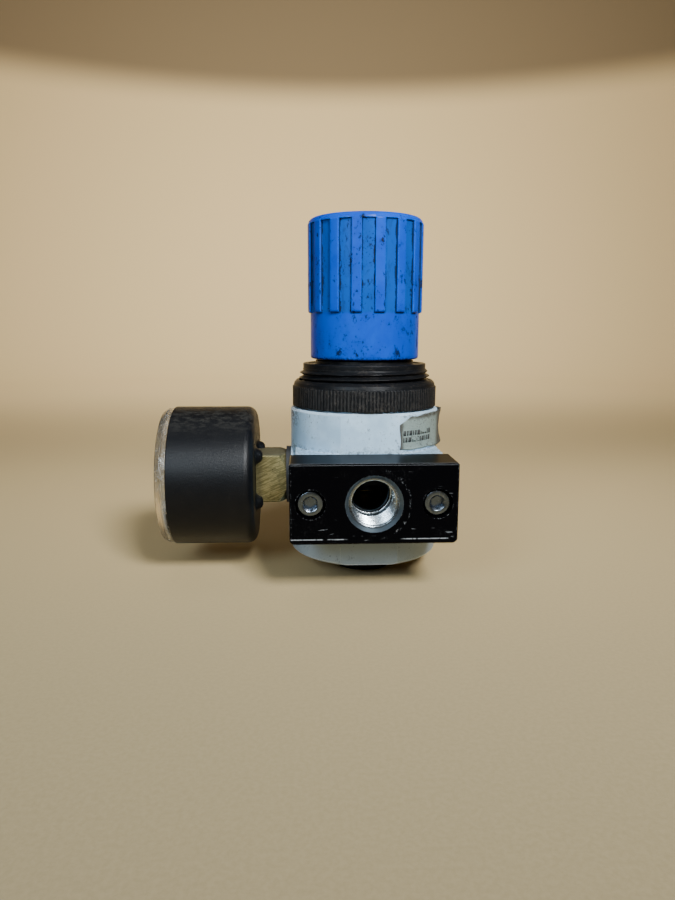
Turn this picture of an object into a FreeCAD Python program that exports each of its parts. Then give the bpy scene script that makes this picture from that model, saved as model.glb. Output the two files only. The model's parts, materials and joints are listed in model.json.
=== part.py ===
"""Small panel-mount air pressure regulator with a side pressure gauge, in millimetres.

+Z runs up the knob's axis, and z = 0 is the flat underside of the bottom plug.
-Y is the inlet side, +Y the outlet side, and -X the gauge side.
"""
import FreeCAD, Part
import math
import os

Vector = FreeCAD.Vector
OUTPUT = "parts"

# ---- driving dimensions -------------------------------------------------------------------
PORT_Z = 26.5              # height of the inlet and outlet axis
BODY_RADIUS = 21.5
BODY_BOTTOM = 5.8
BODY_TOP = 47.9
BODY_HALF_DEPTH = 20.0     # flats that carry the connecting plates
BLOCK_HALF_WIDTH = 20.0    # rectangular port block cast round the middle of the body
BLOCK_CORNER = 1.5
GAUGE_BOSS_RADIUS = 9.0        # round faces that the gauge and its spare port stand on
GAUGE_THREAD_DEPTH = 12.0      # distance from the knob axis where each gauge port stops
GAUGE_FEED_RADIUS = 1.2
COLLAR_RADIUS = 19.6       # threaded collar that the ring nut screws onto
COLLAR_TOP = 53.0

PLATE_WIDTH = 43.2
PLATE_HEIGHT = 21.0
PLATE_DEPTH = 13.0
PLATE_TOP_CORNER = 0.6
PLATE_BOTTOM_CORNER = 1.3
PORT_THREAD_RADIUS = 6.5785    # G 1/4 major radius
PORT_THREAD_LENGTH = 11.0
PORT_MOUTH_RADIUS = 7.45
PORT_BORE_RADIUS = 5.2
PORT_BORE_END = 12.0           # distance from the knob axis where the port bore stops
PORT_SHAFT_X = 11.2            # upright passage that meets each port bore
PORT_SHAFT_RADIUS = 4.0
INLET_SHAFT_BOTTOM = 16.0
OUTLET_SHAFT_TOP = 35.0
SEAL_RADIUS = 7.45             # O-rings between the plates and the body, and round the plug
SEAL_SECTION = 0.65
PLUG_SEAL_SECTION = 0.62
SEAL_GROOVE_WALL = 0.85        # from the ring's centreline to either side of its groove
SCREW_SPACING = 32.5
SCREW_RADIUS = 2.0             # M4
SCREW_HEAD_RADIUS = 3.5
SCREW_HEAD_HEIGHT = 4.0
SCREW_SOCKET_FLATS = 3.0
SCREW_HOLE_RADIUS = 2.25
SCREW_BORE_RADIUS = 3.9        # counterbore in the plate
SCREW_BORE_DEPTH = 5.0
SCREW_REACH = 9.0              # thread engaged in the body

PLUG_FLATS = 16.2
PLUG_TURN = -16.8              # degrees that one corner stands off the inlet side
PLUG_SPIGOT_RADIUS = 8.0
PLUG_SPIGOT_TOP = 14.0
PLUG_CAVITY_RADIUS = 5.0
PLUG_CAVITY_FLOOR = 8.0
PLUG_SEAL_Z = 7.65
VALVE_TAIL_RADIUS = 2.0
VALVE_TAIL_BOTTOM = 4.6
SPARE_PLUG_INNER, SPARE_PLUG_OUTER = 14.5, 20.6
SPARE_PLUG_FLATS = 5.0

LOWER_CHAMBER_RADIUS = 9.0
LOWER_CHAMBER_TOP = 24.0
UPPER_CHAMBER_RADIUS = 8.5
UPPER_CHAMBER_BOTTOM = 27.0
UPPER_CHAMBER_TOP = 37.5
SEAT_RADIUS = 5.0
SEAT_ORIFICE = 3.4
SEAT_LIP_Z = 23.2
SEAT_FLANGE_RADIUS = 6.4
STEM_RADIUS = 1.5
STEM_TOP = 46.0
RUNNING_GAP = 0.05
VALVE_DISC_RADIUS = 5.6
VALVE_DISC_BOTTOM = 19.2
VALVE_DISC_TOP = 22.4
VALVE_SPRING_RADIUS = 3.7
VALVE_SPRING_WIRE = 0.35
VALVE_SPRING_TURNS = 6

SENSING_FLOOR = 43.5           # floor of the chamber under the diaphragm
SENSING_RADIUS = 16.8
SENSING_HOLE_X = 6.0
SENSING_HOLE_RADIUS = 0.8
STEM_SEAL_POCKET = 3.1
RIM_Z = 50.0                   # ledge that carries the diaphragm's rim
RIM_THICKNESS = 1.2
ROLL_RADIUS = 14.9             # middle of the rolled convolution
ROLL_DEPTH = 1.4
WEB_EDGE = 16.9
VENT_RADIUS = 0.9              # relief hole down the diaphragm's middle
WEB_BOTTOM = 50.2
WEB_TOP = 51.0
CLAMP_RADIUS = 18.3            # diaphragm rim and the bonnet spigot above it
FLANGE_RADIUS = 19.5           # bonnet flange that rests on the collar
FLANGE_TOP = 54.0

LABEL_FIRST, LABEL_LAST = 22.5, 142.0  # degrees round from the inlet side
LABEL_BOTTOM = 37.6
LABEL_HEIGHT = 9.8
LABEL_THICKNESS = 0.15

NUT_RADIUS = 20.9
NUT_BOTTOM = 48.3
NUT_BAND_TOP = 53.9
NUT_TOP = 55.8
PANEL_THREAD_RADIUS = 19.0     # M38 x 1.5 panel-mounting thread
PANEL_THREAD_BOTTOM = 55.9
PANEL_THREAD_TOP = 58.2
LEAD_RADIUS = 17.8             # plain lead-in above the panel thread
LEAD_TOP = 60.5
SHOULDER_RADIUS = 14.2         # step under the knob's skirt
SHOULDER_TOP = 61.4
TOWER_RADIUS = 13.0
TOWER_TOP = 90.0
TOWER_BORE = 11.3
TOWER_CEILING = 86.0
SPIGOT_BORE = 14.6
KEYWAY_REACH = 12.2            # of the two grooves that guide the spring carrier
KEYWAY_HALF_WIDTH = 1.6

CARRIER_TOP = 82.0
CARRIER_RADIUS = 10.8
CARRIER_THICKNESS = 2.5
CARRIER_BOSS_RADIUS = 5.0
ADJUSTING_SPRING_RADIUS = 8.6
ADJUSTING_SPRING_WIRE = 1.2
ADJUSTING_SPRING_TURNS = 5.5
ADJUSTING_SPRING_BOTTOM = 52.4
SPINDLE_THREAD_RADIUS = 3.0
SPINDLE_BOTTOM = 58.0
JOURNAL_RADIUS = 4.0
THRUST_FACE = 85.2
THRUST_FLANGE_RADIUS = 6.5
LOCK_RING_OUTER, LOCK_RING_INNER = 12.6, 8.0
LOCK_RING_HEIGHT = 1.6

KNOB_BOTTOM = 61.8
KNOB_TOP = 100.5
KNOB_SKIRT_RADIUS = 15.6
KNOB_RIB_RADIUS = 16.4
KNOB_LID_RADIUS = 16.2
KNOB_RIB_BOTTOM = 74.7
KNOB_LID_BOTTOM = 98.9
KNOB_BORE = 13.6
KNOB_RIBS = 16
KNOB_RIB_WIDTH = 2.8
KNOB_TURN = -1.8               # degrees from a rib gap facing the inlet side
KNOB_CEILING = 98.3
DRIVE_FLATS = 6.4
DRIVE_TOP = 97.5
HUB_RADIUS = 6.5
HUB_BOTTOM = 91.9

GAUGE_Z = 27.5
GAUGE_SEAL_X = -21.5
STEM_SQUARE_X = -22.9
CASE_BACK_X = -31.6
CASE_FRONT_X = -55.1
LENS_FRONT_X = -58.2
CASE_RADIUS = 20.2
CASE_WALL = 1.5
CASE_OPENING = 5.6             # hole in the case's back for the stem's socket
LENS_RADIUS = 19.8
LENS_THICKNESS = 1.5
DIAL_RADIUS = 18.0
LUG_RADIUS = 1.9               # lugs on the case at the corners of the square
LUG_LENGTH = 2.2
SQUARE_FLATS = 13.96
GAUGE_THREAD_RADIUS = 4.86     # G 1/8 major radius
MOVEMENT_BACK_X = -46.6
MOVEMENT_FRONT_X = -52.0
MOVEMENT_PLATE = 1.0
PIVOT_RADIUS = 0.4
COLLET_RADIUS = 0.8
DIAL_X = -52.8
GEAR_MODULE = 0.25
PINION_TEETH = 12
SECTOR_TEETH = 84              # full-circle count, of which the sector carries a few
SECTOR_PIVOT = 12.0            # below the pointer axis
SECTOR_TAIL = 4.2
POINTER_ZERO = 225.0           # degrees, anticlockwise from 3 o'clock, seen from the front
POINTER_TRAVEL = 270.0
TUBE_X = -42.5                 # middle of the Bourdon tube's width
TUBE_RADIUS = 14.0             # Bourdon tube centreline
TUBE_HALF_THICKNESS, TUBE_HALF_WIDTH = 0.9, 3.0
TUBE_TIP, TUBE_ROOT = -16.0, 262.0     # degrees, measured as the pointer is
TIP_PIN = -20.9                # direction of the pin on the tube's tip lug
LINK_ANGLE = 44.1              # the link stays parallel to this as the sector turns
LINK_DEPTH = 2.7               # of its back face in front of the movement's back
LINK_THICKNESS = 0.5

AXIS_X, AXIS_Y, AXIS_Z = Vector(1, 0, 0), Vector(0, 1, 0), Vector(0, 0, 1)


# ---- shape helpers ------------------------------------------------------------------------
def rod(radius, start, end):
    """Solid cylinder from one point to another."""
    start, end = Vector(*start), Vector(*end)
    return Part.makeCylinder(radius, (end - start).Length, start, end - start)


def sleeve(outer, inner, start, end):
    """Straight ring from one point to another."""
    return rod(outer, start, end).cut(rod(inner, start, end))


def upright(radius, bottom, top):
    """Solid cylinder on the knob axis."""
    return rod(radius, (0, 0, bottom), (0, 0, top))


def block(low, high):
    """Box between two opposite corners."""
    low, high = Vector(*low), Vector(*high)
    size = high - low
    return Part.makeBox(size.x, size.y, size.z, low)


def turned(profile):
    """Revolve a closed outline of (radius, height) points about the knob axis."""
    outline = Part.makePolygon([Vector(r, 0, z) for r, z in profile + profile[:1]])
    return Part.Face(outline).revolve(Vector(), AXIS_Z, 360)


def across(shape, x, z):
    """Stand a shape made about +Z on the gauge axis, its +Z pointing along -X from x."""
    shape = shape.copy()
    shape.rotate(Vector(), AXIS_Y, -90)
    shape.translate(Vector(x, 0, z))
    return shape


def hexagon(flats, bottom, top, turn=0.0):
    """Upright hexagonal bar whose first corner stands `turn` degrees off -Y."""
    corner = flats / math.sqrt(3)
    points = []
    for i in range(7):
        angle = math.radians(turn - 90 + 60 * i)
        points.append(Vector(corner * math.cos(angle), corner * math.sin(angle), bottom))
    return Part.Face(Part.makePolygon(points)).extrude(Vector(0, 0, top - bottom))


def joined(shapes):
    """Fuse a list of solids into one."""
    result = shapes[0].fuse(shapes[1:]) if len(shapes) > 1 else shapes[0]
    return result.removeSplitter()


def carved(shape, tools):
    """Cut a list of solids out of a shape."""
    for tool in tools:
        shape = shape.cut(tool)
    return shape


def coil(radius, wire, bottom, top, turns):
    """Open helical spring about the knob axis, with its ten-sided wire between two heights."""
    rise = top - bottom - 2 * wire
    middle = bottom + wire
    helix = Part.makeHelix(rise / turns, rise, radius)
    helix.translate(Vector(0, 0, middle))
    corners = []
    for i in range(11):
        angle = math.radians(36 * i)
        corners.append(Vector(radius + wire * math.cos(angle), 0, middle + wire * math.sin(angle)))
    return Part.Wire(helix.Edges).makePipeShell([Part.makePolygon(corners)], True, True)


def slab(points, thickness):
    """Flat plate of a closed outline of (x, y) points, from z = 0 up."""
    outline = Part.makePolygon([Vector(x, y, 0) for x, y in points + points[:1]])
    return Part.Face(outline).extrude(Vector(0, 0, thickness))


def mirrored_to_outlet(shape):
    """Turn an inlet-side shape half a turn about the knob axis."""
    shape = shape.copy()
    shape.rotate(Vector(), AXIS_Z, 180)
    return shape


def save(name, shape):
    solids = shape.Solids
    if len(solids) != 1 or not shape.isValid():
        print("CHECK", name, len(solids), "solids, valid:", shape.isValid())
    solids[0].exportStep(os.path.join(OUTPUT, name + ".step"))


# ---- body and its fixed fittings ----------------------------------------------------------
def regulator_body():
    """Die-cast housing: a flatted drum with a square port block round its middle."""
    half = PLATE_HEIGHT / 2
    drum = upright(BODY_RADIUS, BODY_BOTTOM, BODY_TOP)
    drum = drum.makeChamfer(0.5, [drum.Edges[i] for i in range(3)
                                  if len(drum.Edges[i].Vertexes) == 1])
    limit = 2 * BODY_RADIUS
    drum = drum.common(block((-limit, -BODY_HALF_DEPTH, 0), (limit, BODY_HALF_DEPTH, limit * 2)))
    port_block = block((-BLOCK_HALF_WIDTH, -BODY_HALF_DEPTH, PORT_Z - half),
                       (BLOCK_HALF_WIDTH, BODY_HALF_DEPTH, PORT_Z + half))
    corners = [e for e in port_block.Edges if abs(e.tangentAt(e.FirstParameter).z) > 0.9]
    port_block = port_block.makeFillet(BLOCK_CORNER, corners)
    collar = upright(COLLAR_RADIUS, BODY_TOP - 1, COLLAR_TOP)
    gauge_bosses = rod(GAUGE_BOSS_RADIUS, (GAUGE_SEAL_X, 0, GAUGE_Z), (-GAUGE_SEAL_X, 0, GAUGE_Z))
    casting = joined([drum, port_block, collar, gauge_bosses])

    cuts = [
        upright(PLUG_SPIGOT_RADIUS + 0.1, BODY_BOTTOM - 1, PLUG_SPIGOT_TOP + 0.6),
        upright(LOWER_CHAMBER_RADIUS, PLUG_SPIGOT_TOP + 0.6, LOWER_CHAMBER_TOP),
        upright(SEAT_RADIUS, LOWER_CHAMBER_TOP - 1, UPPER_CHAMBER_BOTTOM + 1),
        upright(UPPER_CHAMBER_RADIUS, UPPER_CHAMBER_BOTTOM, UPPER_CHAMBER_TOP),
        upright(STEM_RADIUS + RUNNING_GAP, UPPER_CHAMBER_TOP - 1, SENSING_FLOOR + 1),
        upright(STEM_SEAL_POCKET, SENSING_FLOOR - 1.6, SENSING_FLOOR + 1),
        rod(SENSING_HOLE_RADIUS, (SENSING_HOLE_X, 0, UPPER_CHAMBER_TOP - 1),
            (SENSING_HOLE_X, 0, SENSING_FLOOR + 1)),
        upright(SENSING_RADIUS, SENSING_FLOOR, RIM_Z + 1),
        upright(CLAMP_RADIUS + 0.1, RIM_Z, COLLAR_TOP + 1),
    ]
    # The inlet drops to the chamber under the seat, the outlet rises to the one above it.
    for side, low, high in ((-1, INLET_SHAFT_BOTTOM, PORT_Z), (1, PORT_Z, OUTLET_SHAFT_TOP)):
        face, shaft = side * BODY_HALF_DEPTH, side * PORT_SHAFT_X
        outside = face + side
        cuts.append(rod(PORT_BORE_RADIUS, (0, outside, PORT_Z), (0, side * PORT_BORE_END, PORT_Z)))
        cuts.append(rod(PORT_SHAFT_RADIUS, (0, shaft, low), (0, shaft, high)))
        cuts.append(sleeve(SEAL_RADIUS + SEAL_GROOVE_WALL, SEAL_RADIUS - SEAL_GROOVE_WALL,
                           (0, face - side * 2 * SEAL_SECTION, PORT_Z), (0, outside, PORT_Z)))
        for x in (-SCREW_SPACING / 2, SCREW_SPACING / 2):
            cuts.append(rod(SCREW_RADIUS + RUNNING_GAP, (x, outside, PORT_Z),
                            (x, side * (BODY_HALF_DEPTH - SCREW_REACH - 1), PORT_Z)))
    feed_z = GAUGE_Z + 2.5
    for side in (-1, 1):
        end = side * GAUGE_THREAD_DEPTH
        cuts.append(rod(GAUGE_THREAD_RADIUS + RUNNING_GAP, (-side * (GAUGE_SEAL_X - 1), 0, GAUGE_Z),
                        (end, 0, GAUGE_Z)))
        cuts.append(rod(GAUGE_FEED_RADIUS, (end + side, 0, feed_z), (end - side * 5, 0, feed_z)))
    return carved(casting, cuts)


def connecting_plate():
    """Anodised plate with one G 1/4 port and two counterbored screw holes, on the inlet side."""
    front = -BODY_HALF_DEPTH - PLATE_DEPTH
    half_w, half_h = PLATE_WIDTH / 2, PLATE_HEIGHT / 2
    plate = block((-half_w, front, PORT_Z - half_h), (half_w, -BODY_HALF_DEPTH, PORT_Z + half_h))
    for above, radius in ((True, PLATE_TOP_CORNER), (False, PLATE_BOTTOM_CORNER)):
        corners = [e for e in plate.Edges if (e.CenterOfMass.z > PORT_Z) == above
                   and all(abs(abs(v.Point.x) - half_w) < 0.01 for v in e.Vertexes)
                   and abs(e.tangentAt(e.FirstParameter).y) > 0.9]
        plate = plate.makeFillet(radius, corners)
    rim = [e for e in plate.Edges if all(abs(v.Point.y - front) < 0.01 for v in e.Vertexes)]
    plate = plate.makeChamfer(0.4, rim)
    mouth_depth = PORT_MOUTH_RADIUS - PORT_THREAD_RADIUS
    mouth = Part.makeCone(PORT_MOUTH_RADIUS, PORT_THREAD_RADIUS, mouth_depth,
                          Vector(0, front, PORT_Z), AXIS_Y)
    thread_end = front + mouth_depth + PORT_THREAD_LENGTH
    cuts = [
        mouth,
        rod(PORT_THREAD_RADIUS, (0, front, PORT_Z), (0, thread_end, PORT_Z)),
        rod(PORT_BORE_RADIUS, (0, front, PORT_Z), (0, -BODY_HALF_DEPTH, PORT_Z)),
    ]
    for x in (-SCREW_SPACING / 2, SCREW_SPACING / 2):
        cuts.append(rod(SCREW_BORE_RADIUS, (x, front, PORT_Z), (x, front + SCREW_BORE_DEPTH, PORT_Z)))
        cuts.append(rod(SCREW_HOLE_RADIUS, (x, front, PORT_Z), (x, -BODY_HALF_DEPTH, PORT_Z)))
    return carved(plate, cuts)


def plate_seal():
    """O-ring between the inlet plate and the body."""
    ring = Part.makeTorus(SEAL_RADIUS, SEAL_SECTION)
    ring.rotate(Vector(), AXIS_X, 90)
    ring.translate(Vector(0, -BODY_HALF_DEPTH + SEAL_SECTION, PORT_Z))
    return ring


def plate_screw(x):
    """M4 socket-head cap screw on the inlet side."""
    seat = -BODY_HALF_DEPTH - PLATE_DEPTH + SCREW_BORE_DEPTH
    top = seat - SCREW_HEAD_HEIGHT
    head = rod(SCREW_HEAD_RADIUS, (x, top, PORT_Z), (x, seat, PORT_Z))
    rim = [e for e in head.Edges if len(e.Vertexes) == 1 and abs(e.Vertexes[0].Y - top) < 0.01]
    head = head.makeFillet(0.35, rim)
    shank = rod(SCREW_RADIUS, (x, seat - 0.5, PORT_Z), (x, -BODY_HALF_DEPTH + SCREW_REACH, PORT_Z))
    socket = hexagon(SCREW_SOCKET_FLATS, 0, 2.0)
    socket.rotate(Vector(), AXIS_X, -90)
    socket.translate(Vector(x, top, PORT_Z))
    countersink = Part.makeCone(2.05, 1.5, 0.35, Vector(x, top, PORT_Z), AXIS_Y)
    return carved(joined([head, shank]), [socket, countersink])


def bottom_plug():
    """Hexagonal screw plug that closes the lower chamber and guides the valve's tail."""
    head = hexagon(PLUG_FLATS, 0, BODY_BOTTOM, PLUG_TURN)
    corner = PLUG_FLATS / math.sqrt(3)
    bevel = turned([(0, 0), (corner - 1.0, 0), (corner + 0.1, 0.65), (corner + 0.1, BODY_BOTTOM),
                    (0, BODY_BOTTOM)])
    spigot = upright(PLUG_SPIGOT_RADIUS, BODY_BOTTOM - 1, PLUG_SPIGOT_TOP)
    cuts = [
        upright(PLUG_CAVITY_RADIUS, PLUG_CAVITY_FLOOR, PLUG_SPIGOT_TOP + 1),
        upright(VALVE_TAIL_RADIUS + RUNNING_GAP, VALVE_TAIL_BOTTOM - 2.1, PLUG_CAVITY_FLOOR + 1),
        sleeve(PLUG_SPIGOT_RADIUS + 1, SEAL_RADIUS - SEAL_SECTION,
               (0, 0, PLUG_SEAL_Z - SEAL_SECTION), (0, 0, PLUG_SEAL_Z + SEAL_SECTION)),
    ]
    return carved(joined([head.common(bevel), spigot]), cuts)


def bottom_plug_seal():
    ring = Part.makeTorus(SEAL_RADIUS, PLUG_SEAL_SECTION)
    ring.translate(Vector(0, 0, PLUG_SEAL_Z))
    return ring


def stem_seal():
    """Small O-ring round the valve stem, in the floor of the sensing chamber."""
    ring = Part.makeTorus(2.3, 0.74)
    ring.translate(Vector(0, 0, SENSING_FLOOR - 0.8))
    return ring


def gauge_port_plug():
    """Flush socket-head plug in the spare gauge port on the +X side."""
    plug = rod(GAUGE_THREAD_RADIUS, (SPARE_PLUG_INNER, 0, GAUGE_Z), (SPARE_PLUG_OUTER, 0, GAUGE_Z))
    socket = hexagon(SPARE_PLUG_FLATS, 0, 3.5)
    socket.rotate(Vector(), AXIS_Y, -90)
    socket.translate(Vector(SPARE_PLUG_OUTER, 0, GAUGE_Z))
    return plug.cut(socket)


def label():
    """Thin paper label wrapped round the upper drum on the +X side."""
    first, last = math.radians(LABEL_FIRST), math.radians(LABEL_LAST)
    inner = BODY_RADIUS + 0.02
    outer = inner + LABEL_THICKNESS

    def at(radius, angle):
        return Vector(radius * math.sin(angle), -radius * math.cos(angle), LABEL_BOTTOM)

    middle = (first + last) / 2
    edges = [
        Part.Arc(at(outer, first), at(outer, middle), at(outer, last)).toShape(),
        Part.LineSegment(at(outer, last), at(inner, last)).toShape(),
        Part.Arc(at(inner, last), at(inner, middle), at(inner, first)).toShape(),
        Part.LineSegment(at(inner, first), at(outer, first)).toShape(),
    ]
    return Part.Face(Part.Wire(edges)).extrude(Vector(0, 0, LABEL_HEIGHT))


# ---- bonnet, ring nut and adjusting mechanism ---------------------------------------------
def bonnet():
    """Spring housing: clamped flange, panel thread and the tower inside the knob."""
    spigot_bottom, bore_step = RIM_Z + RIM_THICKNESS, WEB_TOP + 3.6
    shell = turned([
        (TOWER_BORE, bore_step), (SPIGOT_BORE, bore_step), (SPIGOT_BORE, spigot_bottom),
        (CLAMP_RADIUS, spigot_bottom), (CLAMP_RADIUS, COLLAR_TOP),
        (FLANGE_RADIUS, COLLAR_TOP), (FLANGE_RADIUS, FLANGE_TOP), (CLAMP_RADIUS, FLANGE_TOP),
        (CLAMP_RADIUS, PANEL_THREAD_BOTTOM), (PANEL_THREAD_RADIUS, PANEL_THREAD_BOTTOM),
        (PANEL_THREAD_RADIUS, PANEL_THREAD_TOP),
        (LEAD_RADIUS, PANEL_THREAD_TOP + 0.6), (LEAD_RADIUS, LEAD_TOP - 0.3),
        (LEAD_RADIUS - 0.3, LEAD_TOP), (SHOULDER_RADIUS, LEAD_TOP), (SHOULDER_RADIUS, SHOULDER_TOP),
        (TOWER_RADIUS, SHOULDER_TOP), (TOWER_RADIUS, TOWER_TOP),
        (JOURNAL_RADIUS + RUNNING_GAP, TOWER_TOP), (JOURNAL_RADIUS + RUNNING_GAP, TOWER_CEILING),
        (TOWER_BORE, TOWER_CEILING),
    ])
    keyway = block((-KEYWAY_REACH, -KEYWAY_HALF_WIDTH, WEB_TOP + 3),
                   (KEYWAY_REACH, KEYWAY_HALF_WIDTH, TOWER_CEILING))
    vent_z = SHOULDER_TOP + 3.1
    vent = rod(VENT_RADIUS, (0, TOWER_BORE - 2, vent_z), (0, TOWER_RADIUS + 2, vent_z))
    return carved(shell, [keyway, vent])


def ring_nut():
    """Knurled union nut that clamps the bonnet and diaphragm onto the body."""
    skirt_bore = COLLAR_RADIUS + RUNNING_GAP
    lip_bore = PANEL_THREAD_RADIUS + 2 * RUNNING_GAP
    lip_bottom = FLANGE_TOP + RUNNING_GAP
    return turned([
        (skirt_bore, NUT_BOTTOM), (NUT_RADIUS - 0.2, NUT_BOTTOM), (NUT_RADIUS, NUT_BOTTOM + 0.2),
        (NUT_RADIUS, NUT_BAND_TOP), (NUT_RADIUS - 0.3, NUT_BAND_TOP + 0.6),
        (NUT_RADIUS - 0.7, NUT_TOP - 0.6), (NUT_RADIUS - 1.3, NUT_TOP),
        (lip_bore, NUT_TOP), (lip_bore, lip_bottom),
        (skirt_bore, lip_bottom),
    ])


def diaphragm():
    """Rubber diaphragm with a clamped rim, a rolled convolution and a flat web."""
    roll, upper = [], []
    for i in range(9):
        down, up = math.radians(180 + 22.5 * i), math.radians(360 - 22.5 * i)
        roll.append((ROLL_RADIUS + 1.5 * math.cos(down), WEB_BOTTOM + ROLL_DEPTH * math.sin(down)))
        upper.append((ROLL_RADIUS + 0.8 * math.cos(up), WEB_TOP + ROLL_DEPTH * math.sin(up)))
    bore, rim, rim_top = 2.6, CLAMP_RADIUS - 0.1, RIM_Z + RIM_THICKNESS
    return turned([(bore, WEB_BOTTOM)] + roll + [
        (WEB_EDGE, WEB_BOTTOM), (WEB_EDGE, RIM_Z), (rim, RIM_Z), (rim, rim_top),
        (WEB_EDGE, rim_top), (WEB_EDGE, WEB_TOP)] + upper + [(bore, WEB_TOP)])


def diaphragm_upper_plate():
    """Spring plate above the diaphragm, with the vent hole down its middle."""
    hub_bottom, hub_top = WEB_BOTTOM - 1.3, WEB_TOP + 3.5
    return turned([
        (VENT_RADIUS, hub_bottom), (2.5, hub_bottom), (2.5, WEB_TOP), (12.5, WEB_TOP),
        (12.5, ADJUSTING_SPRING_BOTTOM - 0.2), (12.3, ADJUSTING_SPRING_BOTTOM),
        (5.0, ADJUSTING_SPRING_BOTTOM), (5.0, hub_top), (VENT_RADIUS, hub_top),
    ])


def diaphragm_lower_plate():
    """Plate under the diaphragm, whose boss carries the relief seat."""
    underside, socket_floor = WEB_BOTTOM - 1.0, STEM_TOP + 1.5
    return turned([
        (VENT_RADIUS, STEM_TOP), (4.0, STEM_TOP), (4.0, underside), (11.5, underside),
        (11.5, WEB_BOTTOM), (2.55, WEB_BOTTOM), (2.55, socket_floor), (VENT_RADIUS, socket_floor),
    ])


def adjusting_spring():
    return coil(ADJUSTING_SPRING_RADIUS, ADJUSTING_SPRING_WIRE, ADJUSTING_SPRING_BOTTOM,
                CARRIER_TOP - CARRIER_THICKNESS, ADJUSTING_SPRING_TURNS)


def spring_carrier():
    """Travelling nut on the spindle, kept from turning by two keys in the bonnet."""
    underside = CARRIER_TOP - CARRIER_THICKNESS
    disc = upright(CARRIER_RADIUS, underside, CARRIER_TOP)
    reach, half = KEYWAY_REACH - 0.3, KEYWAY_HALF_WIDTH - 0.3
    keys = block((-reach, -half, underside), (reach, half, CARRIER_TOP))
    boss = upright(CARRIER_BOSS_RADIUS, underside - 3, CARRIER_TOP)
    bore = upright(SPINDLE_THREAD_RADIUS + RUNNING_GAP, underside - 4, CARRIER_TOP + 1)
    return joined([disc, keys, boss]).cut(bore)


def adjusting_spindle():
    """Screw that drives the carrier, with a thrust flange and a hexagonal drive end."""
    flange_bottom, flange_top = THRUST_FACE - 1.6, THRUST_FACE - RUNNING_GAP
    turned_part = turned([
        (0, SPINDLE_BOTTOM), (SPINDLE_THREAD_RADIUS - 0.6, SPINDLE_BOTTOM),
        (SPINDLE_THREAD_RADIUS, SPINDLE_BOTTOM + 0.6), (SPINDLE_THREAD_RADIUS, flange_bottom),
        (THRUST_FLANGE_RADIUS, flange_bottom), (THRUST_FLANGE_RADIUS, flange_top),
        (JOURNAL_RADIUS, flange_top), (JOURNAL_RADIUS, TOWER_TOP + 0.3), (0, TOWER_TOP + 0.3),
    ])
    return joined([turned_part, hexagon(DRIVE_FLATS, TOWER_TOP, DRIVE_TOP)])


def thrust_washer():
    return sleeve(THRUST_FLANGE_RADIUS - 0.1, JOURNAL_RADIUS + 0.1, (0, 0, THRUST_FACE),
                  (0, 0, TOWER_CEILING))


def lock_ring():
    """Crown of teeth on top of the tower that the pushed-in knob locks against."""
    ring = sleeve(LOCK_RING_OUTER, LOCK_RING_INNER, (0, 0, TOWER_TOP),
                  (0, 0, TOWER_TOP + LOCK_RING_HEIGHT))
    floor, reach, slots = TOWER_TOP + LOCK_RING_HEIGHT / 2, LOCK_RING_OUTER + 1, []
    for i in range(12):
        slot = block((-reach, -0.7, floor), (reach, 0.7, floor + 2))
        slot.rotate(Vector(), AXIS_Z, 15 * i)
        slots.append(slot)
    return carved(ring, slots)


def knob():
    """Ribbed hand knob, open underneath, with a hexagonal socket in its hub."""
    outside = turned([
        (0, KNOB_BOTTOM), (KNOB_SKIRT_RADIUS - 0.4, KNOB_BOTTOM),
        (KNOB_SKIRT_RADIUS, KNOB_BOTTOM + 0.4), (KNOB_SKIRT_RADIUS, KNOB_RIB_BOTTOM),
        (KNOB_SKIRT_RADIUS, KNOB_LID_BOTTOM), (KNOB_LID_RADIUS, KNOB_LID_BOTTOM),
        (KNOB_LID_RADIUS, KNOB_TOP - 0.7), (KNOB_LID_RADIUS - 0.7, KNOB_TOP), (0, KNOB_TOP),
    ])
    half, rib_top = KNOB_RIB_WIDTH / 2, KNOB_LID_BOTTOM + 0.2
    envelope = turned([
        (0, KNOB_RIB_BOTTOM), (KNOB_SKIRT_RADIUS - 0.2, KNOB_RIB_BOTTOM),
        (KNOB_RIB_RADIUS, KNOB_RIB_BOTTOM + 1.6), (KNOB_RIB_RADIUS, KNOB_LID_BOTTOM),
        (KNOB_LID_RADIUS, rib_top), (0, rib_top),
    ])
    ribs = []
    for i in range(KNOB_RIBS):
        rib = block((-half, -KNOB_RIB_RADIUS, KNOB_RIB_BOTTOM + 0.8),
                    (half, -KNOB_SKIRT_RADIUS + 1.8, rib_top))
        rib.rotate(Vector(), AXIS_Z, KNOB_TURN + (i + 0.5) * 360 / KNOB_RIBS)
        ribs.append(rib.common(envelope))
    inside = turned([
        (HUB_RADIUS, HUB_BOTTOM), (HUB_RADIUS, KNOB_CEILING), (KNOB_BORE, KNOB_CEILING),
        (KNOB_BORE, KNOB_BOTTOM - 1), (0, KNOB_BOTTOM - 1), (0, HUB_BOTTOM),
    ])
    drive = hexagon(DRIVE_FLATS + 2 * RUNNING_GAP, HUB_BOTTOM - 1, KNOB_CEILING)
    return carved(outside.fuse(ribs), [inside, drive])


# ---- main valve ---------------------------------------------------------------------------
def valve_seat():
    """Pressed brass seat between the lower and upper chambers."""
    return turned([
        (SEAT_ORIFICE, SEAT_LIP_Z), (SEAT_ORIFICE + 0.7, SEAT_LIP_Z),
        (SEAT_ORIFICE + 0.9, SEAT_LIP_Z + 0.3), (SEAT_FLANGE_RADIUS, SEAT_LIP_Z + 0.3),
        (SEAT_FLANGE_RADIUS, LOWER_CHAMBER_TOP), (SEAT_RADIUS, LOWER_CHAMBER_TOP),
        (SEAT_RADIUS, UPPER_CHAMBER_BOTTOM), (SEAT_ORIFICE, UPPER_CHAMBER_BOTTOM),
    ])


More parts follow.
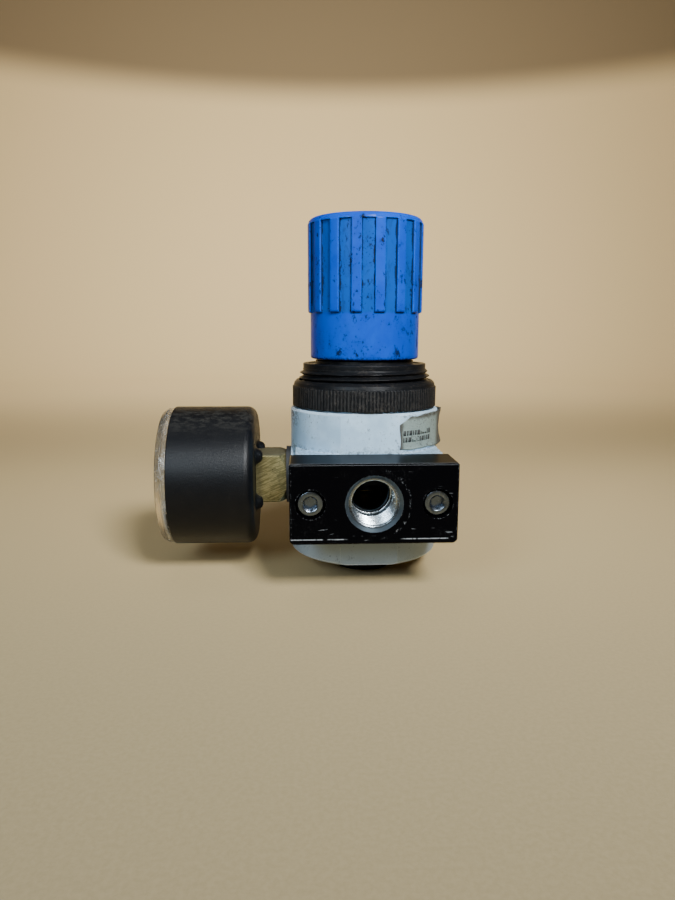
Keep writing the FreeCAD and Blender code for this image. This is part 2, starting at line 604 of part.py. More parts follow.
def valve_stem():
    """Poppet with its push rod above and guided tail below."""
    return turned([
        (0, VALVE_TAIL_BOTTOM), (VALVE_TAIL_RADIUS - 0.4, VALVE_TAIL_BOTTOM),
        (VALVE_TAIL_RADIUS, VALVE_TAIL_BOTTOM + 0.4), (VALVE_TAIL_RADIUS, VALVE_DISC_BOTTOM),
        (VALVE_DISC_RADIUS, VALVE_DISC_BOTTOM), (VALVE_DISC_RADIUS, VALVE_DISC_TOP),
        (STEM_RADIUS, VALVE_DISC_TOP),
        (STEM_RADIUS, STEM_TOP - 0.4), (STEM_RADIUS - 0.4, STEM_TOP), (0, STEM_TOP),
    ])


def valve_seal():
    return sleeve(VALVE_DISC_RADIUS - 0.2, STEM_RADIUS, (0, 0, VALVE_DISC_TOP), (0, 0, SEAT_LIP_Z))


def valve_spring():
    return coil(VALVE_SPRING_RADIUS, VALVE_SPRING_WIRE, PLUG_CAVITY_FLOOR, VALVE_DISC_BOTTOM,
                VALVE_SPRING_TURNS)


# ---- pressure gauge -----------------------------------------------------------------------
def on_gauge(shape, x):
    """Move a shape drawn face-on (x right, y up, z towards the viewer) onto the gauge."""
    shape = shape.copy()
    shape.rotate(Vector(), AXIS_X, 90)
    shape.rotate(Vector(), AXIS_Z, -90)
    shape.translate(Vector(x, 0, GAUGE_Z))
    return shape


def polar(radius, degrees):
    angle = math.radians(degrees)
    return radius * math.cos(angle), radius * math.sin(angle)


def gauge_seal():
    return sleeve(GAUGE_BOSS_RADIUS - 0.6, GAUGE_THREAD_RADIUS + 0.1, (STEM_SQUARE_X, 0, GAUGE_Z),
                  (GAUGE_SEAL_X, 0, GAUGE_Z))


def gauge_stem():
    """Brass connection: thread, wrench square, socket and the arm that feeds the tube."""
    half = SQUARE_FLATS / 2
    thread = rod(GAUGE_THREAD_RADIUS, (-13.5, 0, GAUGE_Z), (STEM_SQUARE_X - 1, 0, GAUGE_Z))
    square = block((CASE_BACK_X, -half, GAUGE_Z - half), (STEM_SQUARE_X, half, GAUGE_Z + half))
    square = square.makeChamfer(0.5, [e for e in square.Edges
                                      if abs(e.tangentAt(e.FirstParameter).x) > 0.9])
    turned_end = Part.makeCone(half + 0.6, half + 13.0, 12.4, Vector(STEM_SQUARE_X, 0, GAUGE_Z),
                               -AXIS_X)
    arm_back, arm_half, arm_end = TUBE_X + 3.5, 3.2, TUBE_RADIUS + 1.6
    socket = rod(CASE_OPENING - 0.1, (CASE_BACK_X + 1, 0, GAUGE_Z), (arm_back + 0.4, 0, GAUGE_Z))
    post = block((MOVEMENT_BACK_X, -3.6, GAUGE_Z - 3.6), (arm_back + 1, 3.6, GAUGE_Z + 3.6))
    arm = on_gauge(block((-arm_half, -arm_end, 0), (arm_half, -arm_half, 7.0)), arm_back)
    tube_root = bourdon_sweep(TUBE_HALF_THICKNESS, TUBE_HALF_WIDTH, TUBE_ROOT - 14, TUBE_ROOT)
    bore = rod(GAUGE_FEED_RADIUS, (-GAUGE_THREAD_DEPTH, 0, GAUGE_Z), (TUBE_X, 0, GAUGE_Z))
    feed = rod(1.0, (TUBE_X, 0, GAUGE_Z), (TUBE_X, 0, GAUGE_Z - TUBE_RADIUS))
    return carved(joined([thread, square.common(turned_end), socket, post, arm]),
                  [bore, feed, tube_root])


def gauge_case():
    """Round case, open at the front, with four lugs that grip the square of the stem."""
    depth = CASE_BACK_X - CASE_FRONT_X
    shell = turned([
        (CASE_OPENING, 0), (CASE_RADIUS - 3.0, 0), (CASE_RADIUS - 1.5, 0.4), (CASE_RADIUS - 0.4, 1.5),
        (CASE_RADIUS, 3.0), (CASE_RADIUS, depth), (CASE_RADIUS - CASE_WALL, depth),
        (CASE_RADIUS - CASE_WALL, 3.2), (CASE_RADIUS - 3.2, CASE_WALL),
        (CASE_OPENING, CASE_WALL),
    ])
    shell = across(shell, CASE_BACK_X, GAUGE_Z)
    half = SQUARE_FLATS / 2
    grip = half + RUNNING_GAP
    square = block((CASE_BACK_X, -grip, GAUGE_Z - grip), (CASE_BACK_X + 4, grip, GAUGE_Z + grip))
    lugs = []
    for y in (-half, half):
        for z in (GAUGE_Z - half, GAUGE_Z + half):
            lug = rod(LUG_RADIUS, (CASE_BACK_X - 0.5, y, z), (CASE_BACK_X + LUG_LENGTH, y, z))
            lugs.append(lug.cut(square))
    return joined([shell] + lugs)


def gauge_lens():
    """Clear snap-on window with a short skirt inside the case."""
    skirt = CASE_RADIUS - CASE_WALL - RUNNING_GAP
    front = CASE_FRONT_X - LENS_FRONT_X
    inside = front - LENS_THICKNESS
    window = turned([
        (skirt - 0.5, -1.4), (skirt, -1.4), (skirt, 0), (LENS_RADIUS, 0), (LENS_RADIUS, front - 0.8),
        (LENS_RADIUS - 0.8, front), (0, front), (0, inside), (DIAL_RADIUS, inside),
        (DIAL_RADIUS, 0), (skirt - 0.5, 0),
    ])
    return across(window, CASE_FRONT_X, GAUGE_Z)


def gauge_dial():
    return sleeve(DIAL_RADIUS, 1.2, (DIAL_X, 0, GAUGE_Z), (DIAL_X - 0.4, 0, GAUGE_Z))


def bourdon_sweep(half_radial, half_axial, first, last):
    """Rectangular section swept round the gauge axis between two directions."""
    points = []
    for r, z in ((-1, -1), (1, -1), (1, 1), (-1, 1), (-1, -1)):
        points.append(Vector(TUBE_RADIUS + r * half_radial, 0, z * half_axial))
    face = Part.Face(Part.makePolygon(points))
    face.rotate(Vector(), AXIS_Z, first)
    return on_gauge(face.revolve(Vector(), AXIS_Z, last - first), TUBE_X)


def bourdon_tube():
    """Flattened C-shaped tube, closed at its free end by a lug with the link's pin."""
    wall = 0.25
    thickness, width = TUBE_HALF_THICKNESS, TUBE_HALF_WIDTH
    outer = bourdon_sweep(thickness, width, TUBE_TIP, TUBE_ROOT)
    inner = bourdon_sweep(thickness - wall, width - wall, TUBE_TIP, TUBE_ROOT)
    lug = block((-1.1, -2.4, -2.0), (1.1, 0.2, 2.0))
    lug.rotate(Vector(), AXIS_Z, TUBE_TIP)
    x, y = polar(TUBE_RADIUS, TUBE_TIP)
    lug.translate(Vector(x, y, 0))
    x, y = polar(TUBE_RADIUS, TIP_PIN)
    pin_end = TUBE_X - MOVEMENT_BACK_X + LINK_DEPTH + LINK_THICKNESS + 0.4
    pin = rod(PIVOT_RADIUS, (x, y, 1.5), (x, y, pin_end))
    tip = on_gauge(joined([lug, pin]), TUBE_X)
    return outer.fuse(tip).cut(inner)


def movement_plate(front):
    """Brass plate of the movement; the back one is fixed to the post."""
    x = MOVEMENT_FRONT_X + MOVEMENT_PLATE if front else MOVEMENT_BACK_X
    half, thickness = 4.5, MOVEMENT_PLATE
    shape = joined([
        block((-half, -SECTOR_PIVOT, 0), (half, 0, thickness)),
        rod(half, (0, 0, 0), (0, 0, thickness)),
        rod(half, (0, -SECTOR_PIVOT, 0), (0, -SECTOR_PIVOT, thickness)),
    ])
    hole = PIVOT_RADIUS + RUNNING_GAP
    holes = [rod(hole, (0, y, -1), (0, y, thickness + 1)) for y in (0, -SECTOR_PIVOT)]
    return on_gauge(carved(shape, holes), x)


def movement_pillar(side):
    """Round spacer between the two movement plates."""
    depth = MOVEMENT_BACK_X - MOVEMENT_FRONT_X - 2 * MOVEMENT_PLATE
    pillar = rod(0.8, (side * 3.2, 2.0, 0), (side * 3.2, 2.0, depth))
    return on_gauge(pillar, MOVEMENT_BACK_X - MOVEMENT_PLATE)


def tooth_outline(teeth, count, first_angle):
    """Involute teeth one after another, as (x, y) points anticlockwise about the origin."""
    addendum, dedendum, backlash = 0.16, 0.30, 0.08
    pressure = math.radians(20)
    pitch = GEAR_MODULE * teeth / 2
    base = pitch * math.cos(pressure)
    half_tooth = math.pi / (2 * teeth) - backlash / (2 * pitch)
    at_pitch = math.tan(pressure) - pressure

    def half_angle(radius):
        if radius <= base:
            return half_tooth + at_pitch
        local = math.acos(base / radius)
        return half_tooth + at_pitch - (math.tan(local) - local)

    radii = [pitch - dedendum, max(base, pitch - dedendum + 0.01), pitch, pitch + addendum]
    points = []
    for i in range(count):
        middle = math.radians(first_angle) + i * 2 * math.pi / teeth
        for radius in radii:
            angle = middle - half_angle(radius)
            points.append((radius * math.cos(angle), radius * math.sin(angle)))
        for radius in reversed(radii):
            angle = middle + half_angle(radius)
            points.append((radius * math.cos(angle), radius * math.sin(angle)))
    return points


def arbor(length):
    """Stepped steel arbor from the back plate forward, thicker between the two plates."""
    return joined([rod(PIVOT_RADIUS, (0, 0, 0.1), (0, 0, length - 0.1)),
                   rod(COLLET_RADIUS, (0, 0, MOVEMENT_PLATE + 0.1), (0, 0, 4.3))])


def pinion_arbor():
    """Pointer arbor with its twelve-leaf pinion."""
    pinion = slab(tooth_outline(PINION_TEETH, PINION_TEETH, 90), 1.6)
    pinion.translate(Vector(0, 0, 1.2))
    return on_gauge(joined([arbor(MOVEMENT_BACK_X - DIAL_X + 1.9), pinion]), MOVEMENT_BACK_X)


def hairspring():
    """Flat spiral spring round the arbor."""
    turns, steps, thickness = 3.0, 24, 0.12
    count = int(turns * steps)
    outer, inner = [], []
    for i in range(count + 1):
        radius = 0.7 + 2.2 * i / count
        degrees = 360 * turns * i / count
        outer.append(polar(radius + thickness / 2, degrees))
        inner.append(polar(radius - thickness / 2, degrees))
    spiral = slab(outer + inner[::-1], 0.6)
    collet = rod(1.0, (0, 0, 0), (0, 0, 0.6))
    spring = joined([spiral, collet]).cut(rod(COLLET_RADIUS, (0, 0, -1), (0, 0, 2)))
    return on_gauge(spring, MOVEMENT_BACK_X - 3.1)


def sector_travel():
    return POINTER_TRAVEL * PINION_TEETH / SECTOR_TEETH


def tail_pin():
    """Direction of the sector's tail at zero pressure, and its pin seen from the front."""
    direction = LINK_ANGLE - 90 - sector_travel() / 2
    x, y = polar(SECTOR_TAIL, direction)
    return direction, x, y - SECTOR_PIVOT


def sector_gear():
    """Toothed sector that drives the pinion, with the tail that the link pulls."""
    count = 13
    step = 360 / SECTOR_TEETH
    # A space between two teeth faces the pinion at each end of the travel.
    last = 90 + step * 1.5
    first = last - step * (count - 1)
    outline = tooth_outline(SECTOR_TEETH, count, first)
    rim_inner = GEAR_MODULE * SECTOR_TEETH / 2 - 2.0
    arc = [polar(rim_inner, last + 1 - i * (last - first + 2) / 8) for i in range(9)]
    thickness = 1.0
    rim = slab(outline + arc, thickness)
    spoke = block((0, -0.9, 0), (rim_inner + 0.3, 0.9, thickness))
    spoke.rotate(Vector(), AXIS_Z, (first + last) / 2)
    tail = joined([
        block((0, -0.8, 0), (SECTOR_TAIL, 0.8, thickness)),
        rod(0.9, (SECTOR_TAIL, 0, 0), (SECTOR_TAIL, 0, thickness)),
        rod(PIVOT_RADIUS, (SECTOR_TAIL, 0, thickness / 2), (SECTOR_TAIL, 0, 2 * thickness)),
    ])
    tail.rotate(Vector(), AXIS_Z, tail_pin()[0])
    gear = joined([rim, spoke, tail, rod(1.5, (0, 0, 0), (0, 0, thickness))])
    gear.translate(Vector(0, 0, 1.5))
    gear = joined([gear, arbor(MOVEMENT_BACK_X - MOVEMENT_FRONT_X)])
    gear.translate(Vector(0, -SECTOR_PIVOT, 0))
    return on_gauge(gear, MOVEMENT_BACK_X)


def bourdon_link():
    """Link from the sector's tail to the tube's tip, slotted at the tip end."""
    _, tail_x, tail_y = tail_pin()
    tip_x, tip_y = polar(TUBE_RADIUS, TIP_PIN)
    reach = math.hypot(tip_x - tail_x, tip_y - tail_y)
    stroke = 2 * SECTOR_TAIL * math.sin(math.radians(sector_travel() / 2))
    near, far = reach - stroke - 0.2, reach + 0.2
    slot_half = 0.65
    bar = joined([
        rod(0.9, (0, 0, 0), (0, 0, LINK_THICKNESS)),
        block((0, -0.6, 0), (near, 0.6, LINK_THICKNESS)),
        block((near - 0.8, -1.2, 0), (far + 1.2, 1.2, LINK_THICKNESS)),
    ])
    slot = joined([
        rod(slot_half, (near, 0, -1), (near, 0, 1)),
        rod(slot_half, (far, 0, -1), (far, 0, 1)),
        block((near, -slot_half, -1), (far, slot_half, 1)),
    ])
    link = carved(bar, [slot, rod(PIVOT_RADIUS + RUNNING_GAP, (0, 0, -1), (0, 0, 1))])
    link.rotate(Vector(), AXIS_Z, LINK_ANGLE)
    link.translate(Vector(tail_x, tail_y, LINK_DEPTH))
    return on_gauge(link, MOVEMENT_BACK_X)


def gauge_pointer():
    """Thin pointer with a counterweight, pressed on the arbor in front of the dial."""
    tail, tip = -5.0, 14.5
    arm = slab([(tail, -0.9), (0, -0.5), (tip, -0.15), (tip, 0.15), (0, 0.5), (tail, 0.9)], 0.35)
    hub = rod(1.6, (0, 0, 0), (0, 0, 0.7))
    pointer = joined([arm, hub]).cut(rod(PIVOT_RADIUS, (0, 0, -1), (0, 0, 2)))
    pointer.rotate(Vector(), AXIS_Z, POINTER_ZERO)
    return on_gauge(pointer, DIAL_X - 1.0)


# ---- build --------------------------------------------------------------------------------
def build():
    os.makedirs(OUTPUT, exist_ok=True)
    plate, seal = connecting_plate(), plate_seal()
    for name, place in (("inlet", lambda shape: shape), ("outlet", mirrored_to_outlet)):
        save(name + "_plate", place(plate))
        save(name + "_plate_seal", place(seal))
        for number, side in ((1, -1), (2, 1)):
            screw = plate_screw(side * SCREW_SPACING / 2)
            save("%s_screw_%d" % (name, number), place(screw))
    for number, side in ((1, -1), (2, 1)):
        save("movement_pillar_%d" % number, movement_pillar(side))
    save("movement_back_plate", movement_plate(front=False))
    save("movement_front_plate", movement_plate(front=True))
    for maker in (
        regulator_body, bottom_plug, bottom_plug_seal, stem_seal, gauge_port_plug, label,
        bonnet, ring_nut, diaphragm, diaphragm_upper_plate, diaphragm_lower_plate,
        adjusting_spring, spring_carrier, adjusting_spindle, thrust_washer, lock_ring, knob,
        valve_seat, valve_stem, valve_seal, valve_spring,
        gauge_seal, gauge_stem, gauge_case, gauge_lens, gauge_dial, bourdon_tube,
        pinion_arbor, hairspring, sector_gear, bourdon_link, gauge_pointer,
    ):
        save(maker.__name__, maker())


build()
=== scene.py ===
import json
from functools import reduce
from math import cos, exp, pi, radians, sin, tan

import bmesh
import bpy
from mathutils import Matrix, Vector


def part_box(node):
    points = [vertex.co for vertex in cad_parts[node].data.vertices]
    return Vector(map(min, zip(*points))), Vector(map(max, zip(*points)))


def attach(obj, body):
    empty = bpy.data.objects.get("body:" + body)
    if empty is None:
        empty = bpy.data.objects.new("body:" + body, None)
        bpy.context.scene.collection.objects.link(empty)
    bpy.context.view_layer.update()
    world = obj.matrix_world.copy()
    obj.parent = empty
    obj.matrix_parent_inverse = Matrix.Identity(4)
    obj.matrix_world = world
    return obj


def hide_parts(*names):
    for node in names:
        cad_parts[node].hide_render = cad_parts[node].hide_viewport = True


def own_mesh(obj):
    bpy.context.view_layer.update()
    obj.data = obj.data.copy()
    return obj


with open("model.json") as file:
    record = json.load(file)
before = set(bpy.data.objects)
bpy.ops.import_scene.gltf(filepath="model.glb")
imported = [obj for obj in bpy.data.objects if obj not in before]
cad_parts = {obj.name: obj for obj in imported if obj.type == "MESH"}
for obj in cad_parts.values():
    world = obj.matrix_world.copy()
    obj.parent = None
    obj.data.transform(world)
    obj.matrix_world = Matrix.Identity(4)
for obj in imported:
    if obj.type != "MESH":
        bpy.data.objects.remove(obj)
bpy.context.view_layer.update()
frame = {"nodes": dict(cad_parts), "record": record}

# ---- places and sizes, all read from the frame (metres) ----
MM = 0.001
MOUNTS = {mount["name"]: mount for mount in frame["record"]["mounts"]}
PORT_Z = MOUNTS["inlet_port"]["pos_m"][2]
PORT_MAJOR = MOUNTS["inlet_port"]["dims"]["r_mm"] * MM
PORT_LENGTH = MOUNTS["inlet_port"]["dims"]["length_mm"] * MM
PANEL_MAJOR = MOUNTS["panel_collar"]["dims"]["r_mm"] * MM
PANEL_TOP = MOUNTS["panel_collar"]["pos_m"][2] + MOUNTS["panel_collar"]["dims"]["length_mm"] * MM / 2
BODY_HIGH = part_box("regulator_body")[1]
PLATE_LOW, PLATE_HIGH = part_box("inlet_plate")
KNOB_LOW, KNOB_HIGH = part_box("knob")
BONNET_LOW, BONNET_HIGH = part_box("bonnet")
NUT_LOW, NUT_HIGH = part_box("ring_nut")
LABEL_LOW, LABEL_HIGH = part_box("label")
CASE_LOW, CASE_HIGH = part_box("gauge_case")
LENS_LOW, LENS_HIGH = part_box("gauge_lens")
DIAL_LOW, DIAL_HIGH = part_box("gauge_dial")
GAUGE_Z = (DIAL_LOW.z + DIAL_HIGH.z) / 2
BODY_RADIUS = BODY_HIGH.x
FLANGE_RADIUS = BONNET_HIGH.x
CASE_BACK = CASE_HIGH.x - 2.2 * MM
SQUARE_TOP = GAUGE_Z + 6.98 * MM


# ---- mesh helpers ----
def enter(piece):
    """Link an object into the scene."""
    bpy.context.scene.collection.objects.link(piece)
    return piece


def around(radius, angle, height):
    """Point round the knob's axis; the angle runs from the inlet side towards +X."""
    return Vector((radius * sin(angle), -radius * cos(angle), height))


def circle(count):
    """Angles of evenly spaced points all the way round."""
    return [2 * pi * j / count for j in range(count)]


def rounded(points, steps=4, closed=True):
    """Outline of (radius, height, corner radius) in millimetres with its corners rounded off."""
    result = []
    count = len(points)
    for i, (r, z, corner) in enumerate(points):
        here = Vector((r, z))
        if corner <= 0 or (not closed and i in (0, count - 1)):
            result.append(here)
            continue
        before = (Vector(points[i - 1][:2]) - here).normalized()
        after = (Vector(points[(i + 1) % count][:2]) - here).normalized()
        half = before.angle(after) / 2
        centre = here + (before + after).normalized() * (corner / sin(half))
        first = here + before * (corner / tan(half)) - centre
        last = here + after * (corner / tan(half)) - centre
        for step in range(steps + 1):
            result.append(centre + corner * first.slerp(last, step / steps).normalized())
    return [(p.x * MM, p.y * MM) for p in result]


def finish_mesh(name, verts, faces, sharp=32.0, weighted=True):
    """Mesh object with smooth faces, sharp only where two faces meet at more than `sharp`."""
    mesh = bpy.data.meshes.new(name)
    mesh.from_pydata([tuple(v) for v in verts], [], faces)
    edit = bmesh.new()
    edit.from_mesh(mesh)
    bmesh.ops.remove_doubles(edit, verts=edit.verts, dist=1e-7)
    bmesh.ops.dissolve_degenerate(edit, edges=edit.edges, dist=1e-8)
    bmesh.ops.recalc_face_normals(edit, faces=edit.faces)
    for face in edit.faces:
        face.smooth = True
    limit = radians(sharp)
    for edge in edit.edges:
        if len(edge.link_faces) == 2 and edge.calc_face_angle(0.0) > limit:
            edge.smooth = False
    edit.to_mesh(mesh)
    edit.free()
    piece = enter(bpy.data.objects.new(name, mesh))
    if weighted:
        modifier = piece.modifiers.new("face_weighted_normals", "WEIGHTED_NORMAL")
        modifier.keep_sharp = True
    return piece


def grid_faces(rows, columns, wrap_rows=False, wrap_columns=True):
    """Quads of a grid whose columns, and perhaps rows, run all the way round."""
    faces = []
    for i in range(rows if wrap_rows else rows - 1):
        for j in range(columns if wrap_columns else columns - 1):
            a, b = i * columns, ((i + 1) % rows) * columns
            faces.append((a + j, a + (j + 1) % columns, b + (j + 1) % columns, b + j))
    return faces


def turned(name, profile, columns=160, closed=True, place=None, radius_at=None, sharp=32.0):
    """Revolve a profile about +Z; radius_at(radius, height, angle) may vary it round the axis."""
    verts = []
    for radius, height in profile:
        for angle in circle(columns):
            r = radius_at(radius, height, angle) if radius_at else radius
            verts.append(around(r, angle, height))
    if place is not None:
        verts = [place @ v for v in verts]
    return finish_mesh(name, verts, grid_faces(len(profile), columns, closed), sharp)


def face_on(x):
    """Matrix that stands a shape drawn facing +Z on the gauge axis, facing -X, at height x."""
    turn = Matrix(((0, 0, -1), (-1, 0, 0), (0, 1, 0))).to_4x4()
    return Matrix.Translation((x, 0, GAUGE_Z)) @ turn


def thicken(piece, name, thickness, offset=-1.0):
    """Give a thin sheet its thickness."""
    modifier = piece.modifiers.new(name, "SOLIDIFY")
    modifier.thickness = thickness
    modifier.offset = offset


def dress(piece, look, replaces=(), body="housing"):
    """Give a new piece its body, material and the CAD nodes it stands for."""
    piece.data.materials.clear()
    piece.data.materials.append(look)
    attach(piece, body)
    if replaces:
        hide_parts(*replaces)


# ---- procedural materials ----
class Look:
    """One procedural material: a Principled shader with masks worked out in object space."""

    def __init__(self, name, **fixed):
        self.material = bpy.data.materials.new(name)
        self.material.use_nodes = True
        self.tree = self.material.node_tree
        self.shader = self.tree.nodes["Principled BSDF"]
        for key, value in fixed.items():
            self.shader.inputs[key.replace("_", " ")].default_value = value
        self.place = self.add("TexCoord").outputs["Object"]
        self.xyz = self.add("SeparateXYZ", Vector=self.place).outputs

    def add(self, kind, settings=None, **sockets):
        node = self.tree.nodes.new("ShaderNode" + kind)
        for key, value in (settings or {}).items():
            setattr(node, key, value)
        for key, value in sockets.items():
            self.feed(node.inputs[key.replace("_", " ")], value)
        return node

    def feed(self, socket, value):
        if isinstance(value, bpy.types.NodeSocket):
            self.tree.links.new(value, socket)
        else:
            socket.default_value = value

    def math(self, operation, first, second=0.0):
        node = self.add("Math", {"operation": operation})
        self.feed(node.inputs[0], first)
        self.feed(node.inputs[1], second)
        return node.outputs[0]

    def both(self, *masks):
        return reduce(lambda one, other: self.math("MULTIPLY", one, other), masks)

    def either(self, *masks):
        return reduce(lambda one, other: self.math("MAXIMUM", one, other), masks)

    def flip(self, mask):
        return self.math("SUBTRACT", 1.0, mask)

    def share(self, mask, amount):
        return self.math("MULTIPLY", mask, amount)

    def apart(self, first, second):
        return self.math("ABSOLUTE", self.math("SUBTRACT", first, second))

    def band(self, value, low, high):
        """0 below low, 1 above high, smooth in between; low may be the larger one."""
        node = self.add("MapRange", {"interpolation_type": "SMOOTHSTEP"}, Value=value,
                        From_Min=low, From_Max=high)
        return node.outputs["Result"]

    def along(self, axis, low, high):
        """0 to 1 from one place to another along an axis."""
        return self.band(self.xyz[axis], low, high)

    def stretched(self, factors, shift=(0, 0, 0), tilt=0.0):
        place = self.place
        if tilt:
            turned_place = self.add("Mapping", Vector=place)
            turned_place.inputs["Rotation"].default_value = (0, radians(tilt), 0)
            place = turned_place.outputs["Vector"]
        node = self.add("Mapping", Vector=place)
        node.inputs["Scale"].default_value = factors
        node.inputs["Location"].default_value = shift
        return node.outputs["Vector"]

    def noise(self, size, detail=4.0, roughness=0.6, stretch=(1, 1, 1), shift=(0, 0, 0), warp=0.0,
              tilt=0.0):
        """Noise whose grains are about `size` millimetres across; returns 0 to 1 about 0.5."""
        node = self.add("TexNoise", Vector=self.stretched(stretch, shift, tilt),
                        Scale=1 / (size * MM), Detail=detail, Roughness=roughness, Distortion=warp)
        return node.outputs["Fac"]

    def from_axis(self, axis, centre):
        """Distance from a line parallel to the axis through the centre, in metres."""
        others = [i for i in range(3) if i != axis]
        squares = []
        for i in others:
            offset = self.math("SUBTRACT", self.xyz[i], centre[i])
            squares.append(self.math("MULTIPLY", offset, offset))
        return self.math("SQRT", self.math("ADD", squares[0], squares[1]))

    def edges(self, radius, sharpness=0.92):
        """1 on outside edges, where a rounded-off normal leans away from the true one."""
        soft = self.add("Bevel", {"samples": 6}, Radius=radius * MM).outputs["Normal"]
        hard = self.add("NewGeometry").outputs["Normal"]
        dot = self.add("VectorMath", {"operation": "DOT_PRODUCT"})
        self.feed(dot.inputs[0], soft)
        self.feed(dot.inputs[1], hard)
        return self.band(dot.outputs["Value"], 0.995, sharpness)

    def blend(self, mask, under, over, amount=1.0):
        """Colour: `under` where the mask is 0, going `amount` of the way to `over` at 1."""
        node = self.add("Mix", {"data_type": "RGBA"})
        self.feed(node.inputs["Factor"], mask if amount == 1.0 else self.share(mask, amount))
        for socket, value in ((node.inputs[6], under), (node.inputs[7], over)):
            self.feed(socket, value if isinstance(value, bpy.types.NodeSocket) else (*value, 1.0))
        return node.outputs[2]

    def level(self, mask, under, over):
        """Number: `under` where the mask is 0, `over` where it is 1."""
        node = self.add("MapRange", Value=mask, To_Min=under, To_Max=over)
        return node.outputs["Result"]

    def colour(self, value):
        self.feed(self.shader.inputs["Base Color"], value)

    def set(self, socket, value):
        self.feed(self.shader.inputs[socket], value)

    def rough(self, mask, under, over):
        """Roughness: `under` where the mask is 0, `over` where it is 1."""
        self.set("Roughness", self.level(mask, under, over))

    def relief(self, height, depth):
        """Bump: a height of 1 stands `depth` millimetres proud."""
        before = self.shader.inputs["Normal"]
        node = self.add("Bump", Height=height, Distance=depth * MM, Strength=1.0)
        if before.is_linked:
            self.feed(node.inputs["Normal"], before.links[0].from_socket)
        self.feed(before, node.outputs["Normal"])


def look_knob():
    """Bright azure moulded plastic, scuffed, with oily grime and painted shade down both sides of every
    rib, painted shade in the flutes and a painted shadow under the rib ends.
    """
    look = Look("azure_knob_plastic", IOR=1.2)
    radius = look.from_axis(2, (0, 0, 0))
    low_part = look.band(radius, SKIRT_RADIUS + 0.55 * MM, SKIRT_RADIUS + 0.25 * MM)
    ribbed = look.along(2, RIB_BOTTOM - 0.6 * MM, RIB_BOTTOM + 0.4 * MM)
    below_lid = look.along(2, LID_BOTTOM + 0.1 * MM, LID_BOTTOM - 0.1 * MM)
    in_flutes = look.both(low_part, ribbed, below_lid)
    angle = look.math("ARCTAN2", look.xyz[0], look.math("MULTIPLY", look.xyz[1], -1.0))
    pitch = 2 * pi / RIB_COUNT
    turn = look.math("SUBTRACT", angle, radians(RIB_TURN))
    phase = look.math("FRACT", look.math("DIVIDE", turn, pitch))
    from_rib = look.apart(phase, 0.5)
    flank = RIB_WIDTH / 2 / RIB_RADIUS / pitch
    fleck = look.noise(0.7, 5, 0.7, shift=(3, 1, 2), warp=0.4)
    smear = look.noise(2.6, 6, 0.72, (1, 1, 0.4), warp=0.8)
    blot = look.noise(5.5, 3, 0.55, (1, 1, 0.6), shift=(7, 3, 1))
    # dark lines down both sides of every rib: partly grime, partly painted shade in the corners
    reach = look.math("ADD", flank, look.share(look.band(smear, 0.35, 0.7), 0.10))
    flank_grime_and_shade = look.both(look.math("GREATER_THAN", from_rib, flank - 0.02),
                           look.math("LESS_THAN", from_rib, reach), in_flutes)
    # painted shadow: a dark band just below the bottom end of each rib
    painted_shadow_under_rib = look.both(look.along(2, RIB_BOTTOM + 0.1 * MM, RIB_BOTTOM - 0.15 * MM),
                          look.along(2, RIB_BOTTOM - 0.7 * MM, RIB_BOTTOM - 0.3 * MM),
                          look.math("LESS_THAN", from_rib, flank + 0.02))
    smudge = look.both(in_flutes, look.band(smear, 0.52, 0.68))
    flecks = look.both(look.band(fleck, 0.605, 0.655), look.band(blot, 0.46, 0.57))
    marks = look.both(look.band(look.noise(1.9, 6, 0.75, (1, 1, 0.7), (5, 9, 4)), 0.575, 0.625),
                      look.band(blot, 0.50, 0.58))
    stains = look.band(look.noise(3.0, 6, 0.74, (1, 1, 0.55), (6, 2, 9), 0.6), 0.60, 0.64)
    lip = look.both(look.along(2, KNOB_LOW.z + 1.3 * MM, KNOB_LOW.z + 0.2 * MM),
                    look.band(fleck, 0.42, 0.6))
    black = look.either(look.share(flank_grime_and_shade, 0.9), flecks, marks, look.share(lip, 0.8),
                        look.share(stains, 0.9))
    # grimy haze, together with the painted shadow under the rib ends
    grime_and_shadow_haze = look.either(look.share(smudge, 0.6), look.share(painted_shadow_under_rib, 0.7),
                       look.share(look.band(blot, 0.5, 0.75), 0.25))
    tone = look.noise(8, 4, 0.6, shift=(2, 2, 2))
    blue = look.blend(look.band(tone, 0.35, 0.65), (0.0, 0.042, 0.36), (0.0, 0.054, 0.41))
    worn = look.blend(look.both(look.edges(0.3), look.band(fleck, 0.4, 0.55)),
                      blue, (0.0, 0.14, 0.62))
    # painted shade: the flutes between the ribs are darkened as if in shadow
    flute = look.blend(in_flutes, worn, (0.0, 0.056, 0.24), 0.6)
    hazy_and_shaded = look.blend(grime_and_shadow_haze, flute, (0.004, 0.03, 0.12))
    look.colour(look.blend(black, hazy_and_shaded, (0.003, 0.006, 0.008)))
    look.rough(look.either(black, look.band(smear, 0.5, 0.8)), 0.30, 0.6)
    scratch = look.noise(0.25, 3, 0.6, (1, 1, 0.15), shift=(1, 4, 8))
    look.relief(look.either(look.share(scratch, 0.25), flecks), 0.05)
    return look.material


